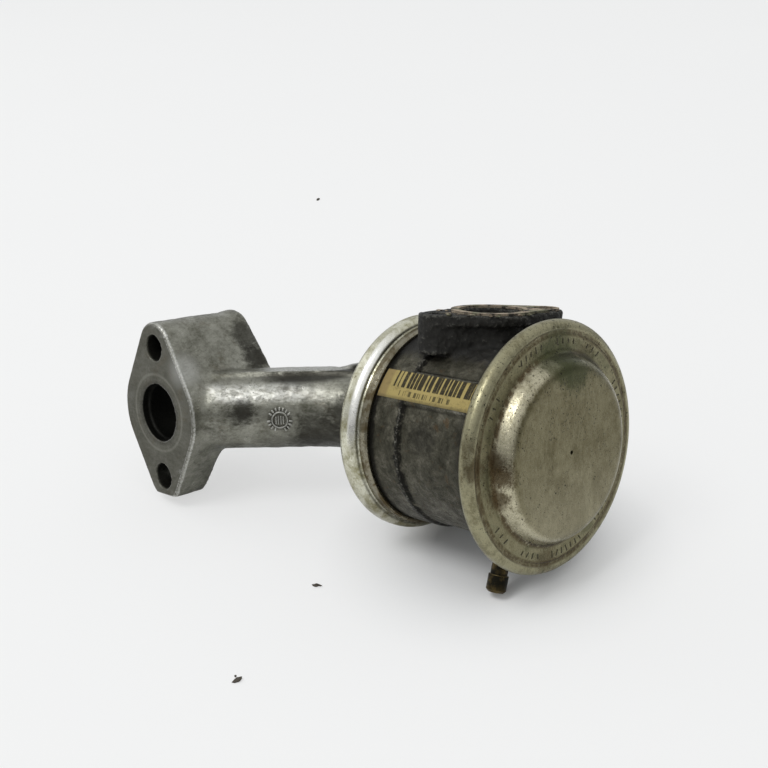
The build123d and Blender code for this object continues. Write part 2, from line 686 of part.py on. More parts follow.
with BuildPart() as vacuum_nipple:
    with BuildSketch(nipple_frame.offset(chamber_r + 0.2)):
        Circle(nipple_r)
    extrude(amount=nipple_reach - chamber_r - 0.2)
    with BuildSketch(nipple_frame.offset(nipple_reach - nipple_barb_l)):
        Circle(nipple_barb_r)
    extrude(amount=nipple_barb_l)
    chamfer(vacuum_nipple.edges().filter_by(GeomType.CIRCLE).sort_by_distance(
        nipple_frame.offset(nipple_reach).origin)[0], 0.7)
    with BuildSketch(nipple_frame.offset(chamber_r)):
        Circle(nipple_bore_r)
    extrude(amount=nipple_reach - chamber_r + 1, mode=Mode.SUBTRACT)
finish(vacuum_nipple.part, "vacuum_nipple")

# ---- Inlet gasket and label -----------------------------------------------------------------------

with BuildPart() as inlet_gasket:
    with BuildSketch(inlet_face):
        Circle(gasket_r)
        with Locations((ear_u, ear_v)):
            Circle(gasket_ear_r)
        make_hull()
        Circle(port_r + 0.5, mode=Mode.SUBTRACT)
        with Locations((ear_u, ear_v)):
            Circle(inlet_thread_r + 0.6, mode=Mode.SUBTRACT)
    extrude(amount=gasket_t)
finish(inlet_gasket.part, "inlet_gasket")

with BuildPart() as label:
    with BuildSketch(section_at(label_angle + half_label)):
        with Locations((label_from, label_pad_r)):
            Rectangle(cap_back - 3.0 - label_from, label_t, align=(Align.MIN, Align.MIN))
    revolve(axis=drum_axis, revolution_arc=2 * half_label)
finish(label.part, "label")
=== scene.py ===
import math
import random

import bpy
import numpy as np
from mathutils import Matrix, Vector, kdtree


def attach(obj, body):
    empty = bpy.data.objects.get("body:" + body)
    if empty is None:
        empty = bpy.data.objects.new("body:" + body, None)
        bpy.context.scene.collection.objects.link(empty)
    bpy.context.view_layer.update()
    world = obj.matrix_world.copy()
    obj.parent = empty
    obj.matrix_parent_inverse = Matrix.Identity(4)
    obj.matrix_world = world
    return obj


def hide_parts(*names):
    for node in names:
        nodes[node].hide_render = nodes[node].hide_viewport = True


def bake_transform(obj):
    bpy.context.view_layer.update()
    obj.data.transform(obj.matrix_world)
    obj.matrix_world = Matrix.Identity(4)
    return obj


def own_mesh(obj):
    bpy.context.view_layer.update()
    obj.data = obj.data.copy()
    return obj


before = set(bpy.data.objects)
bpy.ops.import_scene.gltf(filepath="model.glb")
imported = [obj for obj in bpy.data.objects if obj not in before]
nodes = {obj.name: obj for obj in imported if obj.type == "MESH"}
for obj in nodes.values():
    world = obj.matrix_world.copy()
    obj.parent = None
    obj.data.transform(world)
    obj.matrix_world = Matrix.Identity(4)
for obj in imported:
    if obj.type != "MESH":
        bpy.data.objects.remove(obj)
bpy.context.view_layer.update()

# Vacuum shut-off valve with an elbow: worn cast alloy, yellowed plated steel, soot and a foil label.
# Sizes in the dictionaries are millimetres unless a note says otherwise.

mm = 0.001
drumY = 45.0                     # the drum's axis runs along X at this Y
pipeFrom = (7.11, 10.0, 0.0)     # where the pipe leaves the flange block
pipeAlong = (0.74314, 0.66913, 0.0)
pipeAcross = (-0.66913, 0.74314, 0.0)
earAt = 21.25                    # the flange's bolt holes, from the middle of its bore
inletAxis = (0, 0.06976, 0.99756)
print("stage: frame loaded,", len(nodes), "nodes")

# ---- camera, floor and light ----

cameraSettings = {
    "place": (344.19, -227.77, 99.11),
    "right": (0.69603, 0.71702, -0.03765),
    "up": (-0.13382, 0.18106, 0.97432),
    "lens": 60.94,
}

tableSettings = {
    "up": (0.1491, -0.1880, 0.9708),     # the valve lies on its nipple, crimp ring and lower ear
    "point": (54.9, 31.9, -33.6),
    "reach": 1500,                       # towards the camera and to both sides
    "farEdge": 826,                      # behind the valve
    "tone": (0.885, 0.888, 0.885),
    "stands": (100, 50, -36),
    "lift": 0.66,                        # paler shade that only the camera sees
    "liftFrom": (20, 55),                # it sets in this far from where the valve stands
    "mirrorTone": (0.12, 0.12, 0.12),    # darker room that metal sees in place of the near side
    "mirrorFrom": (215, 305),
}

lightSettings = {
    "overhead": 0.83,
    "behind": 0.76,
    "front": 0.20,                       # the side that the camera is on
    "roomTone": (0.97, 0.985, 1.0),
    "roomTurn": (-0.5, 0.45),            # where front gives way to behind, as a share of the way round
    "roomRise": (0.12, 0.62),            # where both give way to overhead
    "backdropTone": (0.86, 0.85, 0.845),
    "lampPower": 9.6,
    "lampSize": 0.78,                    # metres
    "lampPlace": (77, -1060, 1355),
    "windowPower": 0.7,
    "windowSize": 0.8,
    "windowPlace": (-900, -200, 560),
    "aim": (60, 35, 0),
}

crumbSettings = {
    "size": 1.0, "dark": (0.030, 0.026, 0.020), "pale": (0.10, 0.085, 0.065),
    "crumbs": (((70.8, 2.5, -41.4), 0.80, 0.3), ((85.6, -38.8, -51.7), 0.95, 1.2),
               ((-184.0, 232.7, 42.3), 0.90, 2.0), ((72.2, 3.1, -41.4), 0.30, 0.8),
               ((84.0, -38.0, -51.4), 0.30, 2.6)),     # place, size, turn
}


def setUpCamera(s):
    bpy.ops.object.camera_add(location=[v * mm for v in s["place"]])
    camera = bpy.context.object
    right = Vector(s["right"]).normalized()
    up = Vector(s["up"]).normalized()
    camera.rotation_euler = Matrix((right, up, right.cross(up))).transposed().to_euler()
    camera.data.sensor_width = 36
    camera.data.lens = s["lens"]
    camera.data.clip_start = 0.01
    camera.data.clip_end = 30
    bpy.context.scene.camera = camera


def awayFromCamera(up):          # level with the table
    away = bpy.context.scene.camera.matrix_world.to_quaternion() @ Vector((0, 0, -1))
    return (away - away.dot(up) * up).normalized()


def addNode(tree, kind, inputs=None, **settings):
    made = tree.nodes.new("ShaderNode" + kind)
    for name, value in settings.items():
        setattr(made, name, value)
    for key, value in (inputs or {}).items():
        if isinstance(value, bpy.types.NodeSocket):
            tree.links.new(value, made.inputs[key])
        else:
            made.inputs[key].default_value = value
    return made


def maths(tree, kind, first, second):
    return addNode(tree, "Math", {0: first, 1: second}, operation=kind).outputs[0]


def vectors(tree, kind, first, second=(0, 0, 0)):
    made = addNode(tree, "VectorMath", {0: first, 1: second}, operation=kind)
    return made.outputs["Vector" if kind in ("SUBTRACT", "MULTIPLY") else "Value"]


def ranged(tree, value, ends, first=0.0, last=1.0, kind="LINEAR"):
    return addNode(tree, "MapRange", {0: value, 1: ends[0], 2: ends[1], 3: first, 4: last},
                   interpolation_type=kind).outputs[0]


def mixTones(tree, amount, first, second):
    inputs = {0: amount}
    for slot, tone in ((6, first), (7, second)):
        inputs[slot] = tone if isinstance(tone, bpy.types.NodeSocket) else (*tone, 1)
    return addNode(tree, "Mix", inputs, data_type="RGBA").outputs[2]


def newMaterial(name):
    material = bpy.data.materials.new(name)
    material.use_nodes = True
    return material, material.node_tree, material.node_tree.nodes["Principled BSDF"]


def selectNone():
    bpy.ops.object.select_all(action="DESELECT")


def addCopy(model, name):        # a copy with its own mesh
    piece = bpy.data.objects.new(name, model.data.copy())
    bpy.context.collection.objects.link(piece)
    return piece


def setUpTable(s, up):
    away = awayFromCamera(up)
    side = away.cross(up)
    reach, far, tone = s["reach"], s["farEdge"], s["tone"]
    point = Vector(s["point"])
    middle = point + away * (far - reach) / 2
    bpy.ops.mesh.primitive_plane_add(size=1)
    table = bpy.context.object
    table.name = "table"
    turn = Matrix((side, away, up)).transposed().to_4x4()
    size = Matrix.Diagonal((2 * reach * mm, (far + reach) * mm, 1, 1))
    table.data.transform(Matrix.Translation(middle * mm) @ turn @ size)
    material, tree, shader = newMaterial("tablePaper")
    place = addNode(tree, "TexCoord").outputs["Object"]
    rays = addNode(tree, "LightPath").outputs
    grain = addNode(tree, "TexNoise", {"Vector": place, "Scale": 9.0, "Detail": 5.0}).outputs[0]
    shade = mixTones(tree, grain, [v * 0.975 for v in tone], tone)
    ends = [(v - away.dot(point)) * mm for v in s["mirrorFrom"]]
    near = ranged(tree, vectors(tree, "DOT_PRODUCT", place, -away), ends)
    mirrored = maths(tree, "MULTIPLY", near, rays["Is Glossy Ray"])
    tree.links.new(mixTones(tree, mirrored, shade, s["mirrorTone"]), shader.inputs["Base Color"])
    shader.inputs["Roughness"].default_value = 0.75
    shader.inputs["Specular IOR Level"].default_value = 0.2
    gap = vectors(tree, "DISTANCE", place, Vector(s["stands"]) * mm)
    lift = ranged(tree, gap, [v * mm for v in s["liftFrom"]], 0.0, s["lift"])
    lift = maths(tree, "MULTIPLY", lift, rays["Is Camera Ray"])
    paler = addNode(tree, "Emission", {"Color": (*tone, 1)})
    both = addNode(tree, "MixShader", {0: lift, 1: shader.outputs[0], 2: paler.outputs[0]})
    tree.links.new(both.outputs[0], tree.nodes["Material Output"].inputs["Surface"])
    table.data.materials.append(material)


def setUpLight(s, up):
    world = bpy.data.worlds.new("studio")
    bpy.context.scene.world = world
    world.use_nodes = True
    tree = world.node_tree
    tree.nodes.clear()
    place = addNode(tree, "TexCoord").outputs["Generated"]
    height, depth = [vectors(tree, "DOT_PRODUCT", place, way) for way in (up, awayFromCamera(up))]
    low = ranged(tree, depth, s["roomTurn"], s["front"], s["behind"])
    level = ranged(tree, height, s["roomRise"], low, s["overhead"], "SMOOTHSTEP")
    sky = addNode(tree, "Background", {"Color": (*s["roomTone"], 1), "Strength": level})
    seen = addNode(tree, "Background", {"Color": (*s["backdropTone"], 1), "Strength": 1.0})
    ray = addNode(tree, "LightPath").outputs["Is Camera Ray"]
    both = addNode(tree, "MixShader", {0: ray, 1: sky.outputs[0], 2: seen.outputs[0]})
    out = addNode(tree, "OutputWorld")
    tree.links.new(both.outputs[0], out.inputs["Surface"])
    for name in ("lamp", "window"):
        start = Vector(s[name + "Place"])
        bpy.ops.object.light_add(type="AREA", location=start * mm)
        light = bpy.context.object
        light.name = name
        light.data.shape = "DISK"
        light.data.size = s[name + "Size"]
        light.data.energy = s[name + "Power"]
        light.rotation_euler = (Vector(s["aim"]) - start).to_track_quat("-Z", "Y").to_euler()
    bpy.context.scene.view_settings.view_transform = "Standard"


def scatterCrumbs(s, up):
    selectNone()
    bpy.ops.mesh.primitive_ico_sphere_add(subdivisions=3, radius=s["size"] * mm)
    model = bpy.context.object
    lumps = bpy.data.textures.new("crumbLumps", "CLOUDS")
    lumps.noise_scale = s["size"] * mm
    bump = model.modifiers.new("lumps", "DISPLACE")
    bump.texture = lumps
    bump.strength = s["size"] * mm
    bpy.ops.object.modifier_apply(modifier=bump.name)
    material, tree, shader = newMaterial("crumbSoot")
    place = addNode(tree, "TexCoord").outputs["Object"]
    grain = addNode(tree, "TexNoise", {"Vector": place, "Scale": 2500.0, "Detail": 3.0}).outputs[0]
    tree.links.new(mixTones(tree, grain, s["dark"], s["pale"]), shader.inputs["Base Color"])
    shader.inputs["Roughness"].default_value = 0.9
    model.data.materials.append(material)
    for number, (place, size, turn) in enumerate(s["crumbs"]):
        crumb = addCopy(model, "crumb" + str(number))
        flat = Matrix.Diagonal((1.5 * size, size, 0.5 * size, 1))
        crumb.data.transform(Matrix.Translation(Vector(place) * mm) @ Matrix.Rotation(turn, 4, up) @ flat)
    bpy.data.objects.remove(model)


tableUp = Vector(tableSettings["up"]).normalized()
setUpCamera(cameraSettings)
setUpTable(tableSettings, tableUp)
scatterCrumbs(crumbSettings, tableUp)
setUpLight(lightSettings, tableUp)
print("stage: camera, table and light")

# ---- patterns that the finishes share ----


class Finish:                    # one material while it is put together; its patterns read millimetres

    def __init__(self, name, settings):
        self.material, self.tree, self.shader = newMaterial(name)
        place = addNode(self.tree, "TexCoord").outputs["Object"]
        self.place = vectors(self.tree, "MULTIPLY", place, (1 / mm, 1 / mm, 1 / mm))
        self.settings = settings

    def noise(self, size, detail=4.0, rough=0.6, move=(0, 0, 0), stretch=(1, 1, 1), warp=0.0):
        where = addNode(self.tree, "Mapping", {0: self.place, 1: move, 3: stretch}).outputs[0]
        return addNode(self.tree, "TexNoise", {
            "Vector": where, "Scale": 1 / size, "Detail": detail, "Roughness": rough,
            "Distortion": warp}).outputs[0]

    def stripes(self, value, tightness, detail, rough):      # uneven, across the value
        return addNode(self.tree, "TexNoise", {
            "W": self.times(value, tightness), "Scale": 1.0, "Detail": detail, "Roughness": rough},
            noise_dimensions="1D").outputs[0]

    def between(self, value, low, high, first=0.0, last=1.0):
        return ranged(self.tree, value, (low, high), first, last, "SMOOTHSTEP")

    def band(self, value, rise, fall):       # full from the end of the rise to the end of the fall
        return self.times(self.between(value, *rise), self.between(value, *fall))

    def zone(self, value, name):             # a ramp, or a rise and a fall, that the settings name
        ends = self.settings[name]
        return self.band(value, *ends) if isinstance(ends[0], tuple) else self.between(value, *ends)

    def distance(self, centre, scale=(1, 1, 1)):
        moved = vectors(self.tree, "SUBTRACT", self.place, centre)
        return vectors(self.tree, "LENGTH", vectors(self.tree, "MULTIPLY", moved, scale))

    def spot(self, centre, radius, soft, ragged, reach, scale=(1, 1, 1)):
        far = self.uneven(self.distance(centre, scale), ragged, reach * 2)
        return self.between(far, radius - soft, radius + soft, 1.0, 0.0)

    def axis(self, name):
        return addNode(self.tree, "SeparateXYZ", {0: self.place}).outputs["XYZ".index(name)]

    def value(self, name):       # a number kept on the mesh
        return addNode(self.tree, "Attribute", {}, attribute_name=name).outputs["Fac"]

    def along(self, direction, start):
        return vectors(self.tree, "DOT_PRODUCT", vectors(self.tree, "SUBTRACT", self.place, start), direction)

    def drumRadius(self):        # distance from the drum's axis
        return self.distance((0, drumY, 0), (0, 1, 1))

    def sum(self, first, *others):
        for other in others:
            first = maths(self.tree, "ADD", first, other)
        return first

    def times(self, first, *others):
        for other in others:
            first = maths(self.tree, "MULTIPLY", first, other)
        return first

    def blend(self, *parts):     # patterns added up, each by its share
        return self.sum(*[self.times(pattern, share) for pattern, share in parts])

    def uneven(self, value, pattern, reach):     # the value, moved to both sides by a pattern
        return self.sum(value, self.times(self.sum(pattern, -0.5), reach))

    def most(self, first, second):
        return maths(self.tree, "MAXIMUM", first, second)

    def least(self, first, second):
        return maths(self.tree, "MINIMUM", first, second)

    def inverse(self, value):
        return maths(self.tree, "SUBTRACT", 1.0, value)

    def base(self, value, *stops):           # the first tone, which runs through the stops as the value grows
        ramp = addNode(self.tree, "ValToRGB", {0: value})
        line = ramp.color_ramp
        for index, (place, tone) in enumerate(stops):
            stop = line.elements[index] if index < 2 else line.elements.new(place)
            stop.position = place
            stop.color = (*self.settings[tone], 1)
        self.tone = ramp.outputs[0]

    def paint(self, tone, *amounts):         # a layer over the tone so far, as strong as the amounts say
        self.tone = mixTones(self.tree, self.times(*amounts), self.tone, self.settings[tone])

    def rounded(self, radius):   # normal that rounds the edges
        return addNode(self.tree, "Bevel", {"Radius": radius * mm}, samples=6).outputs[0]

    def flatNormal(self):
        return addNode(self.tree, "NewGeometry").outputs["True Normal"]

    def edge(self, radius, low, high):
        same = vectors(self.tree, "DOT_PRODUCT", self.rounded(radius), self.flatNormal())
        return self.between(self.inverse(same), low, high)

    def facing(self, direction):
        return vectors(self.tree, "DOT_PRODUCT", self.flatNormal(), direction)

    def relief(self, height, depth, base=None):
        inputs = {"Height": height, "Distance": depth * mm, "Strength": 1.0}
        if base is not None:
            inputs["Normal"] = base
        return addNode(self.tree, "Bump", inputs).outputs[0]

    def use(self, rough, metal, normal, **fixed):
        for name, value in (("Base Color", self.tone), ("Roughness", rough), ("Metallic", metal),
                            ("Normal", normal)):
            if isinstance(value, bpy.types.NodeSocket):
                self.tree.links.new(value, self.shader.inputs[name])
            else:
                self.shader.inputs[name].default_value = value
        for name, value in fixed.items():
            self.shader.inputs[name.replace("_", " ")].default_value = value
        return self.material


def wear(finish, *names):        # gives CAD nodes and pieces their finish
    for name in names:
        slots = (nodes[name] if name in nodes else bpy.data.objects[name]).data.materials
        slots.clear()
        slots.append(finish)


def makePlainFinish(name, s, dull, bright, metal):       # for small pieces: fine grain and no more
    f = Finish(name, s)
    fine = f.noise(0.5, 5.0, 0.7)
    f.base(fine, (0.35, "dark"), (0.65, "pale"))
    return f.use(f.between(fine, 0.3, 0.7, dull, bright), metal, f.relief(fine, 0.03))


# ---- cast skin of the elbow: a finer mesh whose inner corners flow into each other ----

skinSettings = {
    "cell": 0.42,                # remesh cell
    "reach": 8.0,                # how far the blend between pipe and block spreads
    "passes": 80,
    "share": 0.45,               # of the triangles that stay
    "pipeRadius": 12.5,
    "middleRadius": 18.7,        # outline of the flange block
    "earRadius": 8.2,
    "profile": ((-1, 29.3), (-1, -27.6), (11.3, -27.6), (15.1, -12.5), (35.4, -12.5), (35.4, 10.5),
                (33.0, 29.3)),
    "bore": (-3.0, -1.5),        # inside the pipe's outer wall by this much, nothing is touched
    "faceEdge": (0.6, 3.2),      # from here on, away from the flange's face, corners blend
    "backEdge": (22, 30),        # and the block's back edge is eased
    "backReach": (2.0, 0.5),
    "grain": (4.5, 0.45),        # size and depth of the cast grain
    "grainFrom": (1.5, 5.0),     # it stays off the flange's face
    "grainTo": (68.0, 62.0),     # and off the end that the crimp ring holds
}


def applyModifier(piece, kind, **settings):
    bpy.context.view_layer.objects.active = piece
    bpy.ops.object.modifier_add(type=kind)
    modifier = piece.modifiers[-1]
    for name, value in settings.items():
        setattr(modifier, name, value)
    bpy.ops.object.modifier_apply(modifier=modifier.name)


def onMesh(*steps):             # mesh operators, on the whole active mesh unless a step selects less
    bpy.ops.object.mode_set(mode="EDIT")
    bpy.ops.mesh.select_all(action="SELECT")
    for operator, settings in steps:
        operator(**settings)
    bpy.ops.object.mode_set(mode="OBJECT")


def copyOfNode(name, title):     # a CAD node's merged mesh, as a piece to work on
    selectNone()
    piece = addCopy(nodes[name], title)
    piece.data.name = title
    bpy.context.view_layer.objects.active = piece
    piece.select_set(True)
    piece.data.materials.clear()
    onMesh((bpy.ops.mesh.remove_doubles, {"threshold": 0.002 * mm}))
    return piece


def readVectors(items, field, count):
    values = np.empty(count * 3, np.float32)
    items.foreach_get(field, values)
    return values.reshape(-1, 3).astype(float)


def pointsOf(piece):             # vertex places in millimetres
    return readVectors(piece.data.vertices, "co", len(piece.data.vertices)) / mm


def normalsOf(piece):
    return readVectors(piece.data.vertex_normals, "vector", len(piece.data.vertices))


def smoothStep(value, low, high):
    part = np.clip((value - low) / (high - low), 0, 1)
    return part * part * (3 - 2 * part)


def outlineDistance(u, v, corners):      # below 0 inside the outline
    nearest = np.full(len(u), np.inf)
    inside = np.zeros(len(u), bool)
    for index, (endU, endV) in enumerate(corners):
        startU, startV = corners[index - 1]
        runU, runV = endU - startU, endV - startV
        part = np.clip(((u - startU) * runU + (v - startV) * runV) / (runU ** 2 + runV ** 2), 0, 1)
        nearest = np.minimum(nearest, np.hypot(u - startU - part * runU, v - startV - part * runV))
        if runV:
            crosses = (startV > v) != (endV > v)
            inside ^= crosses & (u < startU + (v - startV) / runV * runU)
    return np.where(inside, -nearest, nearest)


def blockDistance(points, s):
    u, v = np.abs(points[:, 0]), np.abs(points[:, 2])
    lean = (s["middleRadius"] - s["earRadius"]) / earAt
    rise = math.sqrt(1 - lean * lean)
    across = rise * v - lean * u
    side = np.where(across < 0, np.hypot(u, v) - s["middleRadius"],
                    np.where(across > rise * earAt, np.hypot(u, v - earAt) - s["earRadius"],
                             rise * u + lean * v - s["middleRadius"]))
    return np.maximum(side, outlineDistance(points[:, 1], points[:, 2], s["profile"]))


def pipeDistance(points, radius):
    start, along = np.array(pipeFrom), np.array(pipeAlong)
    run = (points - start) @ along
    return np.linalg.norm(points - start - run[:, None] * along, axis=1) - radius


def addWeights(piece, weights, steps=20):
    group = piece.vertex_groups.new(name="weights")
    levels = np.round(np.clip(weights, 0, 1) * steps).astype(int)
    for level in range(1, steps + 1):
        chosen = np.flatnonzero(levels == level)
        if len(chosen):
            group.add(chosen.tolist(), level / steps, "REPLACE")
    return group.name


def smoothBy(piece, weights, passes):
    applyModifier(piece, "SMOOTH", factor=0.5, iterations=passes, vertex_group=addWeights(piece, weights))
    piece.vertex_groups.clear()


def bendOf(piece, passes):       # how far each point stands out of its neighbourhood, in millimetres
    count = len(piece.data.vertices)
    ends = np.empty(len(piece.data.edges) * 2, np.int32)
    piece.data.edges.foreach_get("vertices", ends)
    first, second = ends.reshape(-1, 2).T
    degree = np.maximum(np.bincount(first, minlength=count) + np.bincount(second, minlength=count), 1)
    start = pointsOf(piece)
    points = start
    for _ in range(passes):
        points = np.stack([(np.bincount(first, points[second, k], count)
                            + np.bincount(second, points[first, k], count)) / degree for k in range(3)], 1)
    return ((start - points) * normalsOf(piece)).sum(1)


def keepValues(piece, name, values):
    piece.data.attributes.new(name, "FLOAT", "POINT").data.foreach_set("value", values.astype(np.float32))


def roughen(piece, grain, weights):      # uneven cast surface, in real geometry
    size, depth = grain
    cloud = bpy.data.textures.new(piece.name + "Cloud", "CLOUDS")
    cloud.noise_scale = size * mm
    cloud.noise_depth = 3
    applyModifier(piece, "DISPLACE", texture=cloud, strength=depth * mm, mid_level=0.5,
                  texture_coords="LOCAL", vertex_group=addWeights(piece, weights))
    piece.vertex_groups.clear()


def finishSkin(piece, node, share):
    bends = {"bend": bendOf(piece, 3), "broadBend": bendOf(piece, 14)}
    tree = kdtree.KDTree(len(piece.data.vertices))
    for index, point in enumerate(pointsOf(piece)):
        tree.insert(point, index)
    tree.balance()
    applyModifier(piece, "DECIMATE", ratio=share)
    bpy.ops.object.shade_smooth()
    nearest = np.array([tree.find(point)[1] for point in pointsOf(piece)])
    for name, values in bends.items():
        keepValues(piece, name, values[nearest])
    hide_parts(node)
    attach(piece, "root")
    print(piece.name, len(piece.data.polygons), "triangles")


def makeElbowSkin(s):
    piece = copyOfNode("outlet_casting", "elbowSkin")
    applyModifier(piece, "REMESH", mode="VOXEL", voxel_size=s["cell"] * mm)
    points = pointsOf(piece)
    block, pipe = blockDistance(points, s), pipeDistance(points, s["pipeRadius"])
    gone = np.hypot(block, pipe)
    outside = smoothStep(pipe, *s["bore"])
    blended = smoothStep(gone, s["reach"], 0.35 * s["reach"]) * outside
    blended *= smoothStep(points[:, 1], *s["faceEdge"])
    back = 0.5 * smoothStep(points[:, 1], *s["backEdge"]) * outside
    back = back * smoothStep(np.abs(block), *s["backReach"])
    smoothBy(piece, np.maximum(blended, back), s["passes"])
    smoothBy(piece, np.full(len(points), 0.6), 2)
    uneven = outside * smoothStep(points[:, 1], *s["grainFrom"]) * smoothStep(points[:, 0], *s["grainTo"])
    roughen(piece, s["grain"], uneven)
    finishSkin(piece, "outlet_casting", s["share"])


makeElbowSkin(skinSettings)
print("stage: elbow skin")

# ---- cast skin of the drum: its boss and pads are rough and crusted with soot ----

drumSkinSettings = {
    "cell": 0.44,
    "share": 0.40,
    "outside": (26.6, 27.6),     # radius from which the outer wall is worked
    "bossFrom": (23.0, 26.0),    # height from which the boss is crusted
    "bossEnds": ((88.0, 89.5), (122.0, 120.5)),
    "top": (36.6, 36.0),         # the boss's face stays flat
    "bareEnds": ((81.0, 83.0), (119.0, 116.0)),
    "label": (12.0, 25.0),       # the wall is smooth under it
    "crust": (2.2, 1.15),        # size and depth
    "grain": (1.7, 0.30),
}


def bandOf(values, rise, fall):
    return smoothStep(values, *rise) * smoothStep(values, *fall)


def makeDrumSkin(s):
    piece = copyOfNode("valve_housing", "drumSkin")
    applyModifier(piece, "REMESH", mode="VOXEL", voxel_size=s["cell"] * mm)
    x, y, z = pointsOf(piece).T
    outer = smoothStep(np.hypot(y - drumY, z), *s["outside"])
    boss = smoothStep(z, *s["bossFrom"]) * outer * bandOf(x, *s["bossEnds"])
    top = smoothStep(z, *s["top"])
    smoothBy(piece, np.maximum(boss * top, 0.15), 14)
    smoothBy(piece, np.full(len(x), 0.6), 2)
    roughen(piece, s["crust"], boss * np.maximum(top, 0.25))
    bare = outer * (1 - boss) * bandOf(x, *s["bareEnds"])
    low, high = s["label"]
    roughen(piece, s["grain"], np.where((y < drumY) & (z > low) & (z < high), 0, bare))
    finishSkin(piece, "valve_housing", s["share"])


makeDrumSkin(drumSkinSettings)
print("stage: drum skin")

# ---- cast alloy of the elbow ----

elbowSettings = {
    "pit": (0.030, 0.028, 0.021),
    "dark": (0.090, 0.088, 0.064),
    "grey": (0.215, 0.213, 0.176),
    "pale": (0.36, 0.358, 0.308),
    "face": (0.082, 0.079, 0.060),
    "stain": (0.080, 0.060, 0.030),
    # near black: soot, and painted shade in the crease under the rib
    "sootAndShade": (0.018, 0.016, 0.011),
    "shine": (0.72, 0.72, 0.69),
    # sooty places: centre, radius, how strong
    "soots": (((9, 31, 21), 5.5, 0.70), ((13.5, 31, 15.5), 5, 0.85), ((36.5, 28.5, 11.5), 5, 0.55),
              ((27.5, 13.2, 1.8), 4.2, 0.88), ((56, 36, 0), 9, 0.70), ((46, 28, -6), 7, 0.65),
              ((22, 6, -5), 3, 0.45), ((62, 45, 22), 7, 0.75), ((12, 12, -20), 4, 0.35)),
    # painted shade inside the bore and the bolt holes
    "holeShade": (0.004, 0.004, 0.003),     # inside the bore and the bolt holes
    "markAt": (36.9, 20.0, -0.7),        # foundry mark
    "markSize": 3.9,
    "wipedAt": (12.5, 2.5, 15.0),
    # zones: where a ramp starts and where it is full, or a rise and a fall
    "faceTo": (0.5, 0.05), "printBand": ((11.9, 12.5), (13.4, 12.7)), "haloTo": (11.4, 9.6),
    "boreWall": (9.75, 9.45), "boreDepth": ((0.1, 0.6), (24.0, 20.0)),
    "socketWall": (4.6, 4.35), "socketDepth": (0.3, 1.2),
    # ribShade zones: painted shade in the crease along the rib's foot, with some soot
    "ribShadeAcross": ((-8.6, -6.6), (-3.6, -4.6)), "ribShadeHigh": (8.9, 10.4), "ribShadeDepth": (17.0, 25.0),
    # highlight zones: painted highlight along the pipe's shoulder, where it is also rubbed clean
    "highlightAcross": (-5.0, -7.5), "highlightHigh": ((3.6, 6.4), (11.0, 8.6)),
    "highlightDepth": ((34.0, 22.0), (5.0, 9.5)),
    "ridgeAcross": (-5.0, -3.9), "ridgeHigh": (12.85, 13.05), "ridgeRun": ((22.0, 27.0), (54.0, 46.0)),
    "lowHigh": (1.0, -8.0), "lowRun": (18.0, 40.0), "rimFrom": (10.5, 12.0), "earFrom": (5.2, 6.4),
}


